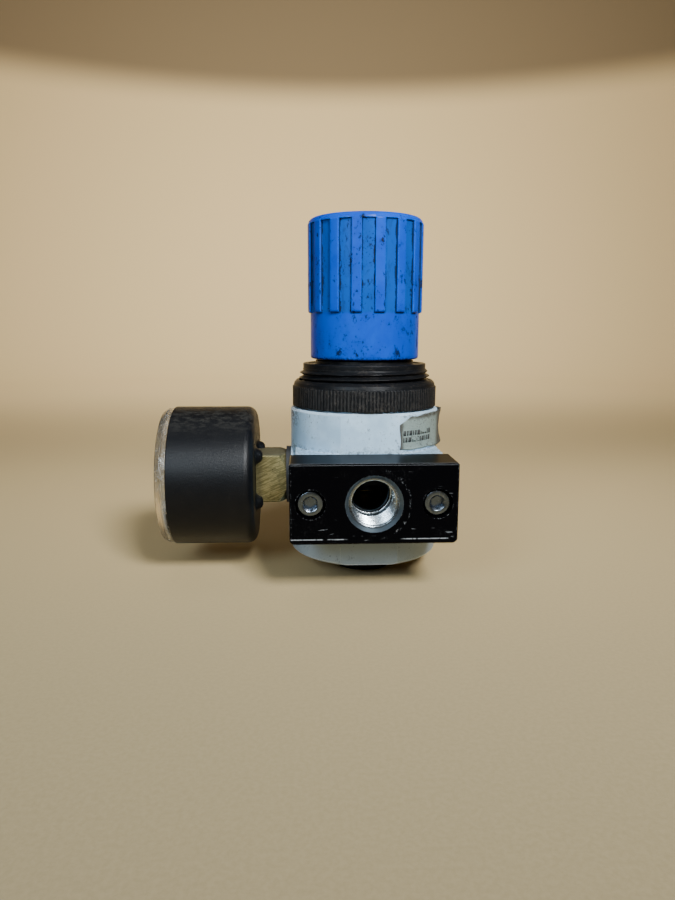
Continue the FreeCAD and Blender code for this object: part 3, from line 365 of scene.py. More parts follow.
def look_black_plastic(name, dust=0.5, base=(0.0045, 0.005, 0.006), crest=None):
    """Dark moulded plastic with brown dust in its roughness, and on crests beyond a radius."""
    look = Look(name, IOR=1.2)
    fine = look.noise(0.5, 5, 0.7)
    patch = look.noise(4, 4, 0.6, shift=(4, 4, 1))
    dusty = look.both(look.band(fine, 0.48, 0.7), look.band(patch, 0.4, 0.64))
    rubbed = look.both(look.edges(0.2), look.band(fine, 0.4, 0.62))
    colour = look.blend(dusty, base, (0.06, 0.05, 0.04), dust)
    colour = look.blend(rubbed, colour, (0.11, 0.10, 0.088), 0.6 * dust)
    if crest is not None:
        radius = look.from_axis(2, (0, 0, 0))
        proud = look.both(look.band(radius, crest - 0.10 * MM, crest - 0.01 * MM),
                          look.band(look.noise(0.6, 4, 0.7, (1, 1, 0.5)), 0.30, 0.60))
        colour = look.blend(proud, colour, (0.062, 0.060, 0.056), 0.32)
    look.colour(colour)
    look.rough(dusty, 0.36, 0.72)
    look.relief(fine, 0.03)
    return look.material


def look_casting():
    """Silver-grey die-cast housing with fine pitting, dark specks, worn edges and grime, a painted
    shadow below the plates and painted shade, near black, on faces closer to the axis than 19.35 mm.
    """
    look = Look("die_cast_housing", Metallic=0.25)
    grain = look.noise(0.35, 4, 0.6)
    cloud = look.noise(7, 4, 0.6, shift=(1, 5, 2))
    fine = look.noise(0.9, 6, 0.75, shift=(4, 8, 1), warp=0.5)
    speck = look.both(look.band(look.noise(0.5, 3, 0.6, shift=(8, 2, 4)), 0.64, 0.69),
                      look.band(cloud, 0.36, 0.56))
    smudge = look.both(look.band(look.noise(1.8, 6, 0.78, (1, 1, 0.7), (2, 8, 6)), 0.545, 0.64),
                       look.band(cloud, 0.48, 0.62))
    side = look.along(0, -BODY_RADIUS + 3.2 * MM, -BODY_RADIUS + 0.8 * MM)
    high = look.along(2, BODY_HIGH.z - 12 * MM, BODY_HIGH.z - 7 * MM)
    front = look.along(1, 1 * MM, -4 * MM)
    grime = look.both(side, high, front, look.band(fine, 0.47, 0.56))
    ledge = look.both(look.along(2, PLATE_HIGH.z + 1.6 * MM, PLATE_HIGH.z + 0.1 * MM),
                      look.along(2, PLATE_LOW.z, PLATE_HIGH.z), look.band(fine, 0.46, 0.62))
    # painted shadow: the housing below the plates is darkened as if shaded by them
    low = look.along(2, PLATE_LOW.z + 1 * MM, PLATE_LOW.z - 3 * MM)
    # painted shade: faces closer to the axis than 19.35 mm are painted near black
    inside = look.band(look.from_axis(2, (0, 0, 0)), 19.45 * MM, 19.35 * MM)
    base = look.blend(look.band(cloud, 0.3, 0.7), (0.35, 0.515, 0.665), (0.47, 0.65, 0.80))
    base = look.blend(low, base, (0.21, 0.24, 0.28), 0.7)
    edge = look.both(look.edges(0.45), look.band(fine, 0.3, 0.5))
    base = look.blend(edge, base, (0.74, 0.79, 0.83), 0.8)
    dirty = look.either(look.share(speck, 0.85), look.share(smudge, 0.6), look.share(grime, 0.95),
                        look.share(ledge, 0.7))
    base = look.blend(dirty, base, (0.035, 0.034, 0.034))
    look.colour(look.blend(inside, base, (0.006, 0.006, 0.007)))
    look.rough(look.band(cloud, 0.3, 0.75), 0.36, 0.52)
    look.relief(grain, 0.025)
    return look.material


def look_plate():
    """Glossy black anodising, bare at the edges and inside the threaded port, with a light line above
    each face's bottom chamfer that is partly wear and partly a painted highlight.
    """
    look = Look("black_anodised_plate", IOR=1.08)
    fine = look.noise(0.6, 4, 0.65)
    patch = look.noise(6, 4, 0.6, shift=(3, 6, 1))
    hair = look.noise(0.9, 2, 0.5, (0.12, 1, 1), shift=(2, 2, 7), warp=1.2)
    scratch = look.both(look.band(hair, 0.69, 0.71), look.band(patch, 0.48, 0.58))
    face = look.band(look.math("ABSOLUTE", look.xyz[1]), -PLATE_LOW.y - 0.2 * MM,
                     -PLATE_LOW.y - 0.02 * MM)
    # light line above the bottom chamfer of each face: partly wear, partly a painted highlight
    from_line = look.apart(look.xyz[2], PLATE_LOW.z + 1.35 * MM)
    aside = look.band(look.math("ABSOLUTE", look.xyz[0]), 6.5 * MM, 8.5 * MM)
    on_line = look.band(from_line, 0.16 * MM, 0.08 * MM)
    broken = look.band(look.noise(7, 3, 0.6, shift=(1, 1, 5)), 0.46, 0.5)
    foot_line_wear_and_highlight = look.both(face, on_line, aside, broken, look.band(fine, 0.35, 0.5))
    crown = look.both(look.along(2, PLATE_HIGH.z - 0.6 * MM, PLATE_HIGH.z - 0.3 * MM),
                      look.edges(0.25))
    chips = look.both(look.edges(0.25), look.band(fine, 0.52, 0.62),
                      look.along(2, PLATE_LOW.z, PLATE_LOW.z + 3 * MM))
    port = look.from_axis(1, (0, 0, PORT_Z))
    ring = look.apart(port, PORT_MAJOR + 2.6 * MM)
    near_ring = look.both(look.band(ring, 0.5 * MM, 0.1 * MM), look.along(0, 1 * MM, 5 * MM))
    scuff = look.both(face, near_ring,
                      look.band(look.noise(1.1, 5, 0.75, shift=(6, 6, 6)), 0.56, 0.64))
    bare_port = look.band(port, PORT_MAJOR + 0.9 * MM, PORT_MAJOR + 0.8 * MM)
    bore = look.band(port, PORT_MAJOR - 0.9 * MM, PORT_MAJOR - 1.0 * MM)
    bare = look.either(look.share(crown, 0.45), look.share(chips, 0.5), look.share(scratch, 0.22),
                       look.share(foot_line_wear_and_highlight, 0.6), look.share(scuff, 0.3))
    dust = look.both(look.band(patch, 0.5, 0.7), look.band(fine, 0.5, 0.62))
    dark = look.blend(dust, (0.0012, 0.0012, 0.0016), (0.03, 0.03, 0.03), 0.15)
    worn = look.blend(bare, dark, (0.42, 0.44, 0.46))
    metal = look.blend(look.flip(bore), (0.004, 0.004, 0.005), (0.10, 0.13, 0.155))
    look.colour(look.blend(bare_port, worn, metal))
    look.set("Metallic", look.share(bare_port, look.share(look.flip(bore), 0.9)))
    upper_face = look.along(2, PLATE_HIGH.z - 0.10 * MM, PLATE_HIGH.z - 0.02 * MM)
    look.rough(look.either(dust, bare, bare_port, upper_face), 0.12, 0.36)
    look.relief(look.share(scratch, -1.0), 0.02)
    return look.material


def look_metal(name, colour, rough=0.35, dirt=0.4, dirt_colour=(0.03, 0.026, 0.02), root=None):
    """Machined or plated metal, a little grimy all over, with painted shade in a port thread's roots."""
    look = Look(name, Metallic=1.0, Roughness=rough)
    hair = look.noise(0.3, 3, 0.6)
    patch = look.noise(2.5, 5, 0.65, shift=(5, 1, 3))
    grime = look.both(look.band(patch, 0.5, 0.68), look.band(hair, 0.35, 0.6))
    bright = tuple(min(1.0, c * 1.15) for c in colour)
    tone = look.blend(grime, look.blend(hair, colour, bright), dirt_colour, dirt)
    if root is not None:
        # painted shade: the thread's roots are darkened as if in shadow
        radius = look.from_axis(1, (0, 0, PORT_Z))
        painted_root_shade = look.band(radius, root - 0.72 * MM, root - 0.52 * MM)
        tone = look.blend(painted_root_shade, tone, dirt_colour, 0.7)
    look.colour(tone)
    look.rough(look.either(hair, grime), rough * 0.75, rough * 1.5)
    look.relief(hair, 0.02)
    return look.material


def look_brass_square():
    """Old brass: olive, deeply scratched across, with black spots, darker towards the case and with
    painted shade on its top face.
    """
    look = Look("scratched_brass")
    across = look.noise(0.30, 3, 0.6, (0.10, 1, 1), warp=0.3, tilt=24)
    fine = look.noise(0.16, 3, 0.6, (0.10, 1, 1), shift=(4, 1, 1), tilt=33)
    patch = look.noise(2.2, 5, 0.7, shift=(2, 3, 3))
    spots = look.band(look.noise(0.8, 3, 0.5, shift=(1, 6, 2)), 0.70, 0.74)
    tone = look.blend(look.band(across, 0.40, 0.62), (0.20, 0.178, 0.076), (0.40, 0.352, 0.172))
    aged_and_shaded = look.blend(look.band(patch, 0.45, 0.7), tone, (0.085, 0.078, 0.035), 0.7)
    near_case = look.along(0, CASE_BACK + 2.6 * MM, CASE_BACK + 0.6 * MM)
    aged_and_shaded = look.blend(near_case, aged_and_shaded, (0.06, 0.055, 0.03), 0.5)
    # painted shade: the square's top face is darkened as if turned away from the light
    upper_face = look.along(2, SQUARE_TOP - 0.3 * MM, SQUARE_TOP - 0.1 * MM)
    aged_and_shaded = look.blend(upper_face, aged_and_shaded, (0.03, 0.028, 0.014), 0.85)
    lower_edge = look.both(look.edges(0.3),
                           look.along(2, GAUGE_Z - 5 * MM, GAUGE_Z - 6.4 * MM))
    aged_and_shaded = look.blend(lower_edge, aged_and_shaded, (0.75, 0.70, 0.42))
    look.colour(look.blend(spots, aged_and_shaded, (0.006, 0.006, 0.005)))
    look.set("Metallic", look.level(upper_face, 0.75, 0.15))
    look.rough(look.either(look.share(patch, 0.5), upper_face), 0.25, 0.75)
    look.relief(look.math("ADD", across, fine), 0.045)
    return look.material


def look_case():
    """Black satin gauge case: finely rubbed all over, scuffed dull along its top."""
    look = Look("gauge_case_black", IOR=1.3)
    fine = look.noise(0.3, 4, 0.65)
    across = look.noise(0.4, 4, 0.7, (0.5, 1, 1), shift=(3, 3, 3))
    patch = look.noise(3.5, 5, 0.65, shift=(6, 2, 2))
    height = look.math("SUBTRACT", look.xyz[2], GAUGE_Z)
    top = look.band(height, 13.0 * MM, 18.5 * MM)
    scuffs = look.both(top, look.band(look.noise(1.5, 6, 0.75, (0.5, 1, 1)), 0.44, 0.6))
    marks = look.both(look.band(across, 0.63, 0.69), look.band(patch, 0.5, 0.62))
    base = look.blend(look.band(patch, 0.4, 0.7), (0.0022, 0.0026, 0.0036), (0.0045, 0.0045, 0.005), 0.5)
    scuffed = look.blend(scuffs, base, (0.022, 0.021, 0.018), 0.75)
    look.colour(look.blend(marks, scuffed, (0.05, 0.048, 0.044), 0.3))
    look.rough(look.either(scuffs, look.share(fine, 0.4)), 0.33, 0.6)
    look.relief(look.math("ADD", fine, across), 0.05)
    return look.material


def look_lens():
    """Clear plastic window, hazed by wear, with flakes of black paint at its joint, and its side wall
    tinted grey-brown as a painted view of the floor through it.
    """
    look = Look("clear_gauge_window", Transmission_Weight=0.95, IOR=1.4, Roughness=0.08)
    haze = look.noise(0.8, 5, 0.7)
    patch = look.noise(5, 4, 0.6, shift=(2, 1, 5))
    joint = look.along(0, CASE_LOW.x - 1.5 * MM, CASE_LOW.x - 0.1 * MM)
    low = look.along(2, GAUGE_Z - 0.5 * MM, GAUGE_Z - 8 * MM)
    flakes = look.both(joint, low, look.band(look.noise(1.2, 6, 0.8, shift=(9, 2, 2)), 0.45, 0.49))
    worn = look.both(look.band(haze, 0.44, 0.64), look.band(patch, 0.4, 0.6))
    side = look.band(look.from_axis(0, (0, 0, GAUGE_Z)), 18.2 * MM, 19.0 * MM)
    worn = look.share(worn, look.level(side, 0.35, 1.0))
    # painted view through the side wall: tinted grey-brown like the floor seen through it
    clear = look.blend(side, (0.93, 0.93, 0.91), (0.60, 0.585, 0.54))
    haze_and_painted_rim_tint = look.blend(worn, clear, (0.42, 0.40, 0.35), 0.5)
    look.colour(look.blend(flakes, haze_and_painted_rim_tint, (0.004, 0.004, 0.004)))
    look.set("Transmission Weight", look.level(look.either(flakes, look.share(worn, 0.2)), 0.96, 0.0))
    look.rough(look.either(worn, look.share(patch, 0.3)), 0.05, 0.35)
    look.relief(haze, 0.01)
    return look.material


def look_label():
    """Greenish-grey sticker, stained and scuffed, browned by old glue along its edges."""
    look = Look("worn_sticker", IOR=1.4)
    fibre = look.noise(0.3, 4, 0.6)
    stain = look.noise(2.2, 6, 0.72, warp=0.5)
    crease = look.noise(1.4, 3, 0.5, (1, 1, 2.2), shift=(3, 3, 1), warp=1.5)
    dirty = look.either(look.share(look.band(stain, 0.52, 0.7), 0.7),
                        look.both(look.band(crease, 0.62, 0.66), look.band(stain, 0.4, 0.5)))
    start = look.along(0, LABEL_START_X + 1.3 * MM, LABEL_START_X + 0.2 * MM)
    top = look.along(2, LABEL_HIGH.z - 1.7 * MM, LABEL_HIGH.z - 0.6 * MM)
    foot = look.along(2, LABEL_LOW.z + 0.8 * MM, LABEL_LOW.z + 0.1 * MM)
    front = look.along(1, 0.0, -2.0 * MM)
    side = look.along(0, BODY_RADIUS - 2.2 * MM, BODY_RADIUS - 0.5 * MM)
    glue = look.either(look.both(look.either(top, look.share(foot, 0.6)), look.band(stain, 0.36, 0.52)),
                       look.both(start, front, look.band(stain, 0.3, 0.46)),
                       look.both(side, look.band(stain, 0.30, 0.42)))
    paper = look.blend(look.band(fibre, 0.35, 0.65), (0.16, 0.205, 0.185), (0.21, 0.26, 0.24))
    stained = look.blend(dirty, paper, (0.05, 0.048, 0.04))
    look.colour(look.blend(glue, stained, (0.035, 0.027, 0.02), 0.85))
    look.rough(stain, 0.45, 0.8)
    look.relief(look.math("ADD", stain, look.share(fibre, 0.3)), 0.06)
    return look.material


def look_simple(name, colour, second, size, rough=(0.4, 0.7), depth=0.02, **fixed):
    """Two close tones in a fine noise, for rubber, ink, paint and paper floor."""
    look = Look(name, **fixed)
    grain = look.noise(size, 5, 0.65)
    look.colour(look.blend(look.band(grain, 0.3, 0.7), colour, second))
    look.rough(grain, *rough)
    look.relief(grain, depth)
    return look.material


# ---- knob ----
RIB_COUNT = 16
RIB_TURN = -1.8                      # degrees that the flute nearest the inlet stands off it
RIB_WIDTH = 2.8 * MM
SKIRT_RADIUS = 15.6 * MM
LID_RADIUS = 16.2 * MM
RIB_RADIUS = 16.4 * MM
RIB_BOTTOM = KNOB_HIGH.z - 25.8 * MM
LID_BOTTOM = KNOB_HIGH.z - 1.7 * MM


def knob_columns():
    """(angle, share of a rib's height) all the way round the knob."""
    half = RIB_WIDTH / 2 / RIB_RADIUS
    pitch = 2 * pi / RIB_COUNT
    side = [(0.0, 1.0), (half * 0.55, 1.0), (half * 0.84, 0.985), (half * 0.95, 0.9),
            (half * 1.0, 0.72), (half * 1.02, 0.16), (half * 1.08, 0.03), (half * 1.25, 0.0),
            (pitch * 0.36, 0.0), (pitch * 0.5, 0.0)]
    one_rib = [(-a, h) for a, h in side[:0:-1]] + side
    columns = []
    for i in range(RIB_COUNT):
        middle = (i + 0.5) * pitch + radians(RIB_TURN)
        columns += [(middle + a, h) for a, h in one_rib[1:]]
    return columns


def knob():
    """Hand knob: smooth skirt, sixteen square ribs and a rounded lid that closes the flutes."""
    columns = knob_columns()
    low, high, skirt, rib, lid, rib_low, lid_low = [
        size / MM for size in (KNOB_LOW.z, KNOB_HIGH.z, SKIRT_RADIUS, RIB_RADIUS, LID_RADIUS,
                               RIB_BOTTOM, LID_BOTTOM)]
    edge = 1.6
    # (radius in the flutes, radius on the ribs, height) from the skirt's mouth upwards
    levels = [(r, r, low + z) for r, z in (
        (13.75, 0.35), (13.9, 0.08), (14.15, 0), (skirt - 0.6, 0), (skirt - 0.3, 0.08),
        (skirt - 0.1, 0.28), (skirt, 0.65))]
    levels += [(skirt, skirt, low + (rib_low - low) * s) for s in (0.25, 0.5, 0.75, 0.93)]
    levels += [(skirt, skirt, rib_low - 0.1), (skirt, rib - 0.42, rib_low - 0.03),
               (skirt, rib - 0.17, rib_low + 0.1), (skirt, rib - 0.04, rib_low + 0.35),
               (skirt, rib, rib_low + 0.8)]
    levels += [(skirt, rib, rib_low + (lid_low - rib_low) * s) for s in (0.2, 0.4, 0.6, 0.8, 0.96)]
    levels += [(skirt + 0.06, rib, lid_low - 0.22), (skirt + 0.34, rib, lid_low - 0.04),
               (lid - 0.1, rib - 0.02, lid_low + 0.05)]
    for i in range(8):
        turn = pi / 2 * i / 7
        r = lid - edge + edge * cos(turn)
        levels.append((r, max(r, rib - 0.06 - 0.5 * edge * sin(turn)) if i < 3 else r,
                       high - edge + edge * sin(turn)))
    levels += [(r, r, high - z) for r, z in (
        (13.9, 0), (13.6, 0.06), (13.3, 0.3), (12.9, 0.4), (5.0, 0.4), (0.0, 0.4))]
    # the bore, its ceiling and the drive hub, drawn from the mouth inwards
    inner = [(r, r, z) for r, z in (
        (13.6, low + 0.6), (13.6, high - 2.2), (6.5, high - 2.2), (6.5, high - 8.55),
        (3.9, high - 8.55), (3.75, high - 2.4), (0.0, high - 2.4))]
    verts = []
    for base, crown, z in levels + inner:
        for angle, height in columns:
            verts.append(around((base + (crown - base) * height) * MM, angle, z * MM))
    count, outside = len(columns), len(levels)
    faces = grid_faces(outside, count)
    first = outside * count
    faces += [tuple(first + v for v in face) for face in grid_faces(len(inner), count)]
    for j in range(count):
        faces.append((j, (j + 1) % count, first + (j + 1) % count, first + j))
    piece = finish_mesh("knob_shell", verts, faces, 40.0)
    dress(piece, look_knob(), ["knob"], "knob")


# ---- threads and turned plastic parts ----
def thread_height(height, angle, pitch):
    """0 at a root and 1 at a crest of a 60 degree thread, slightly flattened at both."""
    phase = (height / pitch - angle / (2 * pi)) % 1.0
    wave = abs(phase - 0.5) * 2
    return min(1.0, max(0.0, wave * 1.35 - 0.17))


def bonnet():
    """Spring housing with the real helical panel thread and the neck up into the knob."""
    rim = PANEL_TOP + 0.9 * MM
    bottom = NUT_HIGH.z - 1.2 * MM
    pitch, depth, start = 1.5 * MM, 0.85 * MM, 0.217
    base, roof, crown = BONNET_LOW.z / MM, BONNET_HIGH.z / MM, rim / MM
    flange = FLANGE_RADIUS / MM
    outline = rounded([
        (11.3, base + 3.4, 0), (14.6, base + 3.4, 0), (14.6, base, 0), (18.3, base, 0.2),
        (18.3, base + 1.8, 0), (flange, base + 1.8, 0), (flange, base + 2.8, 0.1),
        (17.9, base + 2.8, 0)])
    steps = 48
    thread = [(PANEL_MAJOR, bottom + (rim - bottom) * i / steps) for i in range(steps + 1)]
    lead = crown + 1.4
    above = rounded([
        (17.75, crown, 0), (17.8, lead, 0.25), (16.4, lead, 0.15), (16.1, lead - 0.3, 0.1),
        (14.6, lead - 0.3, 0.1), (14.2, lead, 0.1), (14.2, lead + 0.9, 0.2), (13.0, lead + 0.9, 0.1),
        (13.0, roof, 0.4), (4.1, roof, 0.2), (4.1, roof - 4, 0.2), (11.3, roof - 4, 0.3)],
        closed=False)

    def radius_at(radius, height, angle):
        if abs(radius - PANEL_MAJOR) > 1e-9:
            return radius
        worn = max(0.0, height - (PANEL_TOP - 1.6 * MM)) * 0.2
        chamfer = max(0.0, height - (PANEL_TOP - 0.1 * MM)) * 0.75
        crest = PANEL_MAJOR - worn - chamfer
        root = PANEL_MAJOR - depth - 0.35 * MM
        phase = thread_height(height + start * pitch, angle, pitch)
        closing = min(1.0, max(0.0, (rim - height) / (0.4 * MM)))
        return root + (crest - root) * (phase * closing + (1 - closing) * 0.9)

    piece = turned("bonnet_shell", outline + thread + above, 288, radius_at=radius_at, sharp=50)
    look = look_black_plastic("bonnet_black_plastic", 0.5)
    dress(piece, look, ["bonnet"])


def ring_nut():
    """Union nut with a finely serrated band and a rounded shoulder above it."""
    low, high = NUT_LOW.z / MM, NUT_HIGH.z / MM
    outer = NUT_HIGH.x / MM
    lip, lip_bottom = PANEL_MAJOR / MM + 0.1, high - 1.75
    bore = lip + 0.55
    band_top = high - 1.9
    serrations, per_tooth, depth = 132, 6, 0.2
    profile = rounded([
        (bore, low, 0.1), (outer, low, 0.25), (outer, low + 1.8, 0), (outer, low + 3.8, 0),
        (outer, band_top, 0.15), (outer - 0.3, band_top + 0.3, 0.15), (outer - 0.5, high - 0.75, 0.4),
        (outer - 1.2, high, 0.35), (lip, high, 0.1), (lip, lip_bottom, 0.1),
        (bore, lip_bottom, 0.1)])
    wander = [0.02 * sin(7.3 * i) + 0.02 * sin(2.9 * i + 1) for i in range(serrations)]

    def radius_at(radius, height, angle):
        if radius < (outer - 0.24) * MM or height > (band_top + 0.05) * MM:
            return radius
        place = angle / (2 * pi) * serrations
        valley = max(0.0, 1 - abs((place % 1.0) - 0.5) * 3.4)
        fade = min(1.0, (radius - (outer - 0.24) * MM) / (0.2 * MM))
        return radius - fade * (depth + wander[int(place) % serrations]) * MM * valley

    piece = turned("ring_nut_knurled", profile, serrations * per_tooth, radius_at=radius_at, sharp=70)
    look = look_black_plastic("ring_nut_black_plastic", 0.7, crest=outer * MM)
    dress(piece, look, ["ring_nut"])


def port_thread(side, look):
    """Female G 1/4 thread inside one plate, with the ledge and bore at its end."""
    pitch = 1.337 * MM
    minor = PORT_MAJOR - 0.856 * MM
    mouth = abs(PLATE_LOW.y) - 0.87 * MM
    end = mouth - PORT_LENGTH
    bore = 5.18 * MM
    steps, columns = 132, 144
    rows = []
    for i in range(steps + 1):
        depth = PORT_LENGTH * i / steps
        row = []
        for angle in circle(columns):
            crest = thread_height(depth, angle, pitch)
            lead_in = min(1.0, depth / (1.0 * MM))
            runout = min(1.0, max(0.0, (PORT_LENGTH - depth) / (1.6 * MM)))
            height = (PORT_MAJOR - minor) * crest * lead_in * (0.35 + 0.65 * runout)
            row.append((PORT_MAJOR - 0.02 * MM - height, angle, mouth - depth))
        rows.append(row)
    ledge = ((bore + 0.75 * MM, 0.05), (bore + 0.35 * MM, 0.05), (bore + 0.05 * MM, -0.2),
             (bore, -0.45), (bore, -1.0), (PORT_MAJOR + 0.03 * MM, -1.0))
    for r, inwards in ledge:
        rows.append([(r, angle, end + inwards * MM) for _, angle, _ in rows[0]])
    rows.append([(PORT_MAJOR + 0.03 * MM, angle, mouth) for _, angle, _ in rows[0]])
    verts = []
    for row in rows:
        for r, angle, distance in row:
            x = r * sin(angle) * -side
            verts.append(Vector((x, side * distance, PORT_Z + r * cos(angle))))
    name = "inlet_port_thread" if side < 0 else "outlet_port_thread"
    piece = finish_mesh(name, verts, grid_faces(len(rows), columns, True), 60.0)
    dress(piece, look)


def cap_screw(node, side, look):
    """Socket-head cap screw with a knurled head, a broken edge and a hexagonal socket."""
    low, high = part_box(node)
    x = (low.x + high.x) / 2
    top = -low.y if side < 0 else high.y
    tip = -high.y if side < 0 else low.y
    head, length, shank, columns = (high.x - low.x) / 2 / MM, (top - tip) / MM, 2.0, 144
    # (shape, radius, depth below the head's top) in millimetres
    rows = [("hex", 0, 2), ("hex", 1.5, 1.95), ("hex", 1.5, 0.5), ("round", 1.95, 0.12),
            ("round", 2.1, 0.02), ("round", 2.25, 0), ("round", head - 0.55, 0),
            ("round", head - 0.3, 0.06), ("round", head - 0.1, 0.22), ("knurl", head, 0.5),
            ("knurl", head, 3.7), ("round", head - 0.15, 4), ("round", shank, 4),
            ("round", shank, length - 0.4), ("round", shank - 0.4, length), ("round", 0, length)]
    verts = []
    for kind, r, depth in rows:
        for angle in circle(columns):
            reach = r * MM
            if kind == "hex":
                reach /= cos((angle + pi / 6) % (pi / 3) - pi / 6)
            if kind == "knurl":
                reach -= 0.07 * MM * (0.5 + 0.5 * cos(36 * angle))
            verts.append(Vector((x + reach * cos(angle), side * (top - depth * MM),
                                 PORT_Z + reach * sin(angle))))
    piece = finish_mesh(node + "_detailed", verts, grid_faces(len(rows), columns), 40.0)
    dress(piece, look, [node])


# ---- label ----
LABEL_FIRST, LABEL_LAST = 22.5, 142.0      # degrees round from the inlet side
LABEL_START_X = BODY_RADIUS * sin(radians(LABEL_FIRST))


def label_edge(u, seed):
    """Small irregular wander of a torn edge, in metres."""
    return (0.35 * sin(9.0 * u + seed) + 0.22 * sin(23.0 * u + 2.1 * seed)
            + 0.12 * sin(57.0 * u + 0.7 * seed)) * MM


def label():
    """Sticker that has torn at its top corner and curled away from the drum's side."""
    columns, rows = 90, 26
    low, high = LABEL_LOW.z, LABEL_HIGH.z
    verts = []
    for i in range(rows + 1):
        v = i / rows
        for j in range(columns + 1):
            u = j / columns
            torn = 2.4 * MM * max(0.0, 1 - u / 0.09) ** 1.3
            bottom = low + 0.25 * MM + label_edge(u, 1.0) * 0.5
            top = high - 0.1 * MM - torn + label_edge(u, 4.0) * 0.6
            z = bottom + (top - bottom) * v
            start = LABEL_FIRST + 0.6 * sin(5 * v) - 0.4
            angle = radians(start + (LABEL_LAST - start) * u)
            curl = exp(-((u - 0.60) / 0.16) ** 2) * (0.35 + 0.65 * abs(2 * v - 1) ** 1.5)
            ripple = 0.10 * sin(31 * u + 4 * v) * sin(11 * v + 9 * u)
            lifted = 0.10 + 1.35 * curl + max(0.0, ripple) * (0.3 + curl)
            lifted += 0.25 * max(0.0, 1 - v / 0.08) * sin(17 * u) ** 2
            r = BODY_RADIUS + lifted * MM
            verts.append(around(r, angle, z))
    faces = grid_faces(rows + 1, columns + 1, wrap_columns=False)
    piece = finish_mesh("label_sticker", verts, faces, 80.0, weighted=False)
    thicken(piece, "paper_thickness", 0.13 * MM, -0.2)
    dress(piece, look_label(), ["label"])


def label_print():
    """Rows of short faded dashes in place of the sticker's wording."""
    ink = look_simple("faded_print", (0.008, 0.009, 0.009), (0.045, 0.05, 0.045), 0.4, (0.6, 0.8))
    lengths = (1.1, 0.7, 1.3, 0.5, 0.9, 1.4, 0.6, 1.0)
    half = 1.35 / 2
    verts, faces = [], []
    for row, height in enumerate((4.9, 3.1)):
        along = 24.6
        for k in range(11):
            span = lengths[(k + 3 * row) % len(lengths)]
            for step in range(3):
                angle = radians(along + span * 2.1 * step / 2)
                for z in (height - half, height + half):
                    verts.append(around(BODY_RADIUS + 0.17 * MM, angle, LABEL_LOW.z + z * MM))
            a = len(verts) - 6
            faces += [(a, a + 2, a + 3, a + 1), (a + 2, a + 4, a + 5, a + 3)]
            along += span * 2.1 + 0.7
    piece = finish_mesh("label_dashes", verts, faces, 80.0, weighted=False)
    thicken(piece, "ink_thickness", 0.03 * MM)
    dress(piece, ink)


# ---- pressure gauge ----
def gauge_case(look):
    """Drawn case with a rolled back edge."""
    depth = (CASE_BACK - CASE_LOW.x) / MM
    radius = CASE_HIGH.y / MM
    profile = rounded([
        (5.6, 0.2, 0), (radius - 2.2, 0, 0.3), (radius, 0, 2.6), (radius, depth, 0.3),
        (radius - 1.5, depth, 0.2), (radius - 1.5, 1.5, 1.5), (5.6, 1.5, 0)], steps=8)
    piece = turned("gauge_case_shell", profile, 224, place=face_on(CASE_BACK), sharp=45)
    dress(piece, look, ["gauge_case"])


def case_lugs(look):
    """Four small horns on the case's back, one round each corner of the square."""
    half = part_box("gauge_stem")[1].y
    columns = 28
    profile = rounded([(3.4, -0.3, 0), (2.3, 0.3, 0.7), (1.6, 1.6, 0.6), (0.9, 1.95, 0.3),
                       (0.0, 2.0, 0)], closed=False)
    for number, (side_y, side_z) in enumerate(((-1, -1), (-1, 1), (1, -1), (1, 1))):
        verts = []
        for r, height in profile:
            for angle in circle(columns):
                verts.append(Vector((CASE_BACK + height,
                                     side_y * (half - 0.35 * MM) + r * cos(angle),
                                     GAUGE_Z + side_z * (half - 0.2 * MM) + r * sin(angle))))
        piece = finish_mesh("case_lug_%d" % (number + 1), verts,
                            grid_faces(len(profile), columns), 50.0)
        dress(piece, look)


def gauge_window():
    """Snap-on clear window with a rounded rim."""
    front = (CASE_LOW.x - LENS_LOW.x) / MM
    radius = LENS_HIGH.y / MM
    skirt = CASE_HIGH.y / MM - 1.55
    profile = rounded([
        (skirt - 0.5, -1.4, 0), (skirt, -1.4, 0), (skirt, 0, 0), (radius, 0, 0.15),
        (radius, front * 0.55, 0.5), (radius - 0.75, front, 0.8), (radius - 2.4, front, 0.3),
        (radius - 2.8, front - 0.25, 0.2), (0.0, front - 0.2, 0), (0.0, front - 1.5, 0),
        (18.0, front - 1.5, 0.3), (18.0, 0, 0), (skirt - 0.5, 0, 0)], steps=5)
    piece = turned("gauge_window", profile, 224, place=face_on(CASE_LOW.x), sharp=45)
    dress(piece, look_lens(), ["gauge_lens"])


def flat_text(name, text, size, place, look):
    """A few generic characters as flat raised print."""
    curve = bpy.data.curves.new(name, "FONT")
    curve.body = text
    curve.size = size
    curve.align_x, curve.align_y = "CENTER", "CENTER"
    curve.extrude = 0.02 * MM
    curve.resolution_u = 3
    holder = enter(bpy.data.objects.new(name + "_outline", curve))
    bpy.context.view_layer.update()
    mesh = bpy.data.meshes.new_from_object(holder.evaluated_get(
        bpy.context.evaluated_depsgraph_get()))
    mesh.transform(place)
    bpy.data.objects.remove(holder)
    piece = enter(bpy.data.objects.new(name, mesh))
    dress(piece, look)


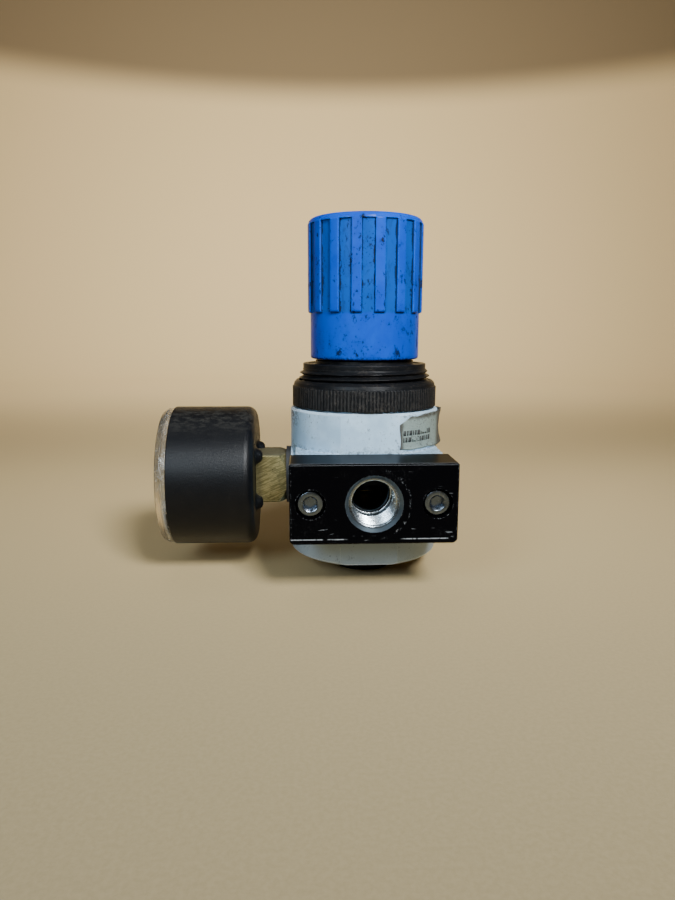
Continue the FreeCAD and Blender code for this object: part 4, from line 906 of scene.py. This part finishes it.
def dial_print():
    """Scale arc, tick marks and numbers on the dial's face."""
    ink = look_simple("dial_ink", (0.008, 0.008, 0.009), (0.02, 0.02, 0.022), 0.5, (0.5, 0.6), 0.005)
    front = face_on(DIAL_LOW.x)
    lift = 0.03 * MM
    zero, travel = 225.0, 270.0
    edge, ring = 15.4, 15.7
    verts, faces = [], []

    def polar(radius, degrees, aside=0.0):
        angle = radians(degrees)
        outwards = Vector((cos(angle), sin(angle), 0)) * radius
        sideways = Vector((-sin(angle), cos(angle), 0)) * aside
        return (outwards + sideways) * MM

    def patch(points):
        a = len(verts)
        verts.extend(front @ (point + Vector((0, 0, lift))) for point in points)
        faces.append((a, a + 1, a + 3, a + 2))

    for tick in range(81):
        major = tick % 10 == 0
        length = 2.4 if major else (1.7 if tick % 5 == 0 else 1.1)
        half = 0.14 if major else 0.06
        degrees = zero - travel * tick / 80
        patch([polar(r, degrees, w) for r in (edge - length, edge) for w in (-half, half)])
    segments = 90
    for i in range(segments):
        ends = (zero - travel * i / segments, zero - travel * (i + 1) / segments)
        patch([polar(r, degrees) for degrees in ends for r in (edge, ring)])
    piece = finish_mesh("dial_scale", verts, faces, 80.0, weighted=False)
    thicken(piece, "ink_thickness", 0.02 * MM)
    dress(piece, ink)
    for number in range(9):
        spot = polar(10.9, zero - travel * number / 8) + Vector((0, 0, lift))
        place = front @ Matrix.Translation(spot)
        flat_text("dial_number_%d" % (2 * number), str(2 * number), 3.0 * MM, place, ink)


# ---- springs ----
def spring(node, bottom, top, radius, wire, turns, look):
    """Round-wire compression spring with closed ends."""
    length = top - bottom
    sides, per_turn = 12, 40
    steps = int(turns * per_turn)
    verts = []
    for i in range(steps + 1):
        u = i / steps
        closed = 0.75 / turns
        if u < closed:
            rise = 0.5 * u * u / closed
        elif u > 1 - closed:
            rise = 1 - closed - 0.5 * (1 - u) ** 2 / closed
        else:
            rise = u - 0.5 * closed
        z = bottom + wire + (length - 2 * wire) * rise / (1 - closed)
        angle = 2 * pi * turns * u
        for turn in circle(sides):
            verts.append(around(radius + wire * cos(turn), angle, z + wire * sin(turn)))
    faces = grid_faces(steps + 1, sides)
    faces.append(tuple(range(sides)))
    faces.append(tuple(steps * sides + j for j in reversed(range(sides))))
    piece = finish_mesh(node + "_wire", verts, faces, 50.0, weighted=False)
    dress(piece, look, [node])
    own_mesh(piece)


# ---- diaphragm ----
def diaphragm(look):
    """Rubber diaphragm: its web rides with the plates that clamp it, its roll with the rim."""
    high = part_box("diaphragm")[1]
    top, rim = high.z / MM, high.x / MM
    under, over, clamp, split = top - 1.0, top - 0.2, top - 1.2, 12.65
    web = [(2.6, under), (split - 0.05, under), (split - 0.05, over), (2.6, over)]
    piece = turned("diaphragm_web", [(r * MM, z * MM) for r, z in web], 96)
    dress(piece, look, ["diaphragm"], "diaphragm_disc")
    outline = [(split, under)]
    for i in range(9):
        turn = radians(180 + 22.5 * i)
        outline.append((14.9 + 1.5 * cos(turn), under + 1.4 * sin(turn)))
    outline += [(16.9, under), (16.9, clamp), (rim, clamp), (rim, top), (16.9, top), (16.9, over)]
    for i in range(9):
        turn = radians(360 - 22.5 * i)
        outline.append((14.9 + 0.8 * cos(turn), over + 1.4 * sin(turn)))
    outline.append((split, over))
    piece = turned("diaphragm_roll", [(r * MM, z * MM) for r, z in outline], 96)
    dress(piece, look)


# ---- CAD nodes that keep their own shape ----
def dress_nodes():
    """Materials of the nodes that stay as the CAD made them."""
    plate = look_plate()
    rubber = look_simple("black_rubber", (0.012, 0.012, 0.012), (0.02, 0.02, 0.021), 0.6, (0.6, 0.8))
    brass = look_metal("machined_brass", (0.62, 0.48, 0.22), 0.3, 0.3)
    zinc = look_metal("zinc_plated_steel", (0.62, 0.62, 0.60), 0.32, 0.25)
    bronze = look_metal("bronze_tube", (0.55, 0.33, 0.14), 0.3, 0.3)
    steel = look_metal("drawn_spring_steel", (0.42, 0.42, 0.43), 0.3, 0.3)
    plug = look_black_plastic("bottom_plug_black_plastic", 0.35, (0.012, 0.010, 0.0098))
    dial = look_simple("dial_white_paint", (0.80, 0.80, 0.76), (0.84, 0.84, 0.81), 2,
                       (0.45, 0.55), 0.004)
    pointer = look_simple("pointer_paint", (0.008, 0.008, 0.008), (0.02, 0.02, 0.02), 0.6,
                          (0.4, 0.5), 0.004)
    chosen = (
        (look_casting(), "regulator_body"), (plate, "inlet_plate outlet_plate"),
        (plug, "bottom_plug"), (look_brass_square(), "gauge_stem"), (dial, "gauge_dial"),
        (pointer, "gauge_pointer"), (bronze, "bourdon_tube"), (steel, "hairspring"),
        (zinc, "gauge_port_plug diaphragm_upper_plate adjusting_spindle thrust_washer lock_ring"
               " pinion_arbor"),
        (rubber, "inlet_plate_seal outlet_plate_seal bottom_plug_seal stem_seal valve_seal"
                 " gauge_seal"),
        (brass, "diaphragm_lower_plate spring_carrier valve_seat valve_stem bourdon_link"
                " movement_back_plate movement_front_plate movement_pillar_1 movement_pillar_2"
                " sector_gear"),
    )
    for look, names in chosen:
        for name in names.split():
            slots = frame["nodes"][name].data.materials
            slots.clear()
            slots.append(look)
    return steel, rubber


# ---- stage, lights and camera ----
def stage():
    """Round pale floor that curves up far away into its own backdrop, darker close to the camera as a
    painted shadow and darker above the bend as painted shade.
    """
    flat, wall = 0.75, 1.35
    profile = [(r, 0.0) for r in (0.0, 0.12, 0.3, flat)]
    for i in range(1, 13):
        turn = pi / 2 * i / 12
        profile.append((flat + (wall - flat) * sin(turn), (wall - flat) * (1 - cos(turn))))
    profile.append((wall, 1.6))
    floor = turned("studio_floor", profile, 96, closed=False, sharp=80)
    look = Look("pale_paper_floor", IOR=1.3)
    fibre = look.noise(0.9, 5, 0.65)
    fleck = look.band(look.noise(1.6, 4, 0.7, shift=(1, 2, 3)), 0.69, 0.74)
    # painted shadow and light falloff: the floor is darker close to the camera and lighter farther back
    away = look.along(1, -0.14, 0.16)
    # painted shade: the backdrop is darkened from 0.52 m up, like paper bent away from the light
    painted_bend_shade = look.along(2, 0.52, 0.60)
    front_floor_painted_shadow = look.blend(look.band(fibre, 0.3, 0.7), (0.31, 0.245, 0.13), (0.35, 0.275, 0.15))
    tone = look.blend(away, front_floor_painted_shadow, (0.68, 0.50, 0.245))
    tone = look.blend(painted_bend_shade, tone, (0.20, 0.145, 0.075))
    look.colour(look.blend(fleck, tone, (0.30, 0.22, 0.13), 0.3))
    look.rough(fibre, 0.8, 0.95)
    look.relief(fibre, 0.03)
    floor.data.materials.append(look.material)


def area_light(name, place, target, size, power, colour=(1, 1, 1), spread=180):
    light = bpy.data.lights.new(name, "AREA")
    light.shape = "SQUARE"
    light.size = size
    light.energy = power
    light.color = colour
    light.spread = radians(spread)
    lamp = enter(bpy.data.objects.new(name, light))
    lamp.location = place
    lamp.rotation_euler = (Vector(target) - Vector(place)).to_track_quat("-Z", "Y").to_euler()


def lights():
    area_light("key_softbox", (0.12, -0.34, 0.33), (0, 0.10, 0.09), 0.12, 1.15, (0.95, 0.98, 1.0), 85)
    area_light("side_softbox", (-0.22, -0.34, 0.24), (-0.02, 0.05, 0.06), 0.16, 0.5,
               (0.72, 0.87, 1.0), 110)
    area_light("top_softbox", (-0.10, 0.10, 0.85), (0, 0.05, 0), 0.35, 0.5)
    area_light("backdrop_light", (0, 0.35, 0.8), (0, 1.25, 0.25), 0.5, 9.0, spread=130)
    world = bpy.data.worlds.new("studio_world")
    world.use_nodes = True
    background = world.node_tree.nodes["Background"]
    background.inputs["Color"].default_value = (0.84, 0.87, 0.90, 1)
    background.inputs["Strength"].default_value = 0.09
    bpy.context.scene.world = world


def camera():
    """Viewpoint about 0.2 m in front of the inlet, looking down a little."""
    data = bpy.data.cameras.new("camera")
    data.lens = 27.05
    data.sensor_width = 36.0
    data.clip_start, data.clip_end = 0.01, 20.0
    viewer = enter(bpy.data.objects.new("camera", data))
    yaw, pitch, roll = radians(-2.947), radians(-10.24), radians(-0.136)
    turn = (Matrix.Rotation(yaw, 4, "Z") @ Matrix.Rotation(pitch, 4, "X")
            @ Matrix.Rotation(roll, 4, "Y") @ Matrix.Rotation(pi / 2, 4, "X"))
    viewer.matrix_world = Matrix.Translation((-0.01795, -0.1984, 0.0705)) @ turn
    bpy.context.scene.camera = viewer


# ---- the model ----
camera()
lights()
stage()
steel, rubber = dress_nodes()
diaphragm(rubber)
knob()
bonnet()
ring_nut()
thread_look = look_metal("bare_port_thread", (0.56, 0.63, 0.68), 0.25, 0.45,
                         (0.05, 0.06, 0.07), root=PORT_MAJOR)
screw_look = look_metal("worn_screw_steel", (0.155, 0.185, 0.225), 0.22, 0.6,
                        (0.012, 0.012, 0.013))
for side, name in ((-1, "inlet"), (1, "outlet")):
    port_thread(side, thread_look)
    for number in (1, 2):
        cap_screw("%s_screw_%d" % (name, number), side, screw_look)
label()
label_print()
gauge_case(look_case())
case_lugs(look_black_plastic("case_lug_plastic", 0.15))
gauge_window()
dial_print()
spring("adjusting_spring", 52.92 * MM, 79.48 * MM, 8.6 * MM, 1.2 * MM, 6.5,
       steel)
spring("valve_spring", 8 * MM, 19.2 * MM, 3.7 * MM, 0.35 * MM, 7.0, steel)
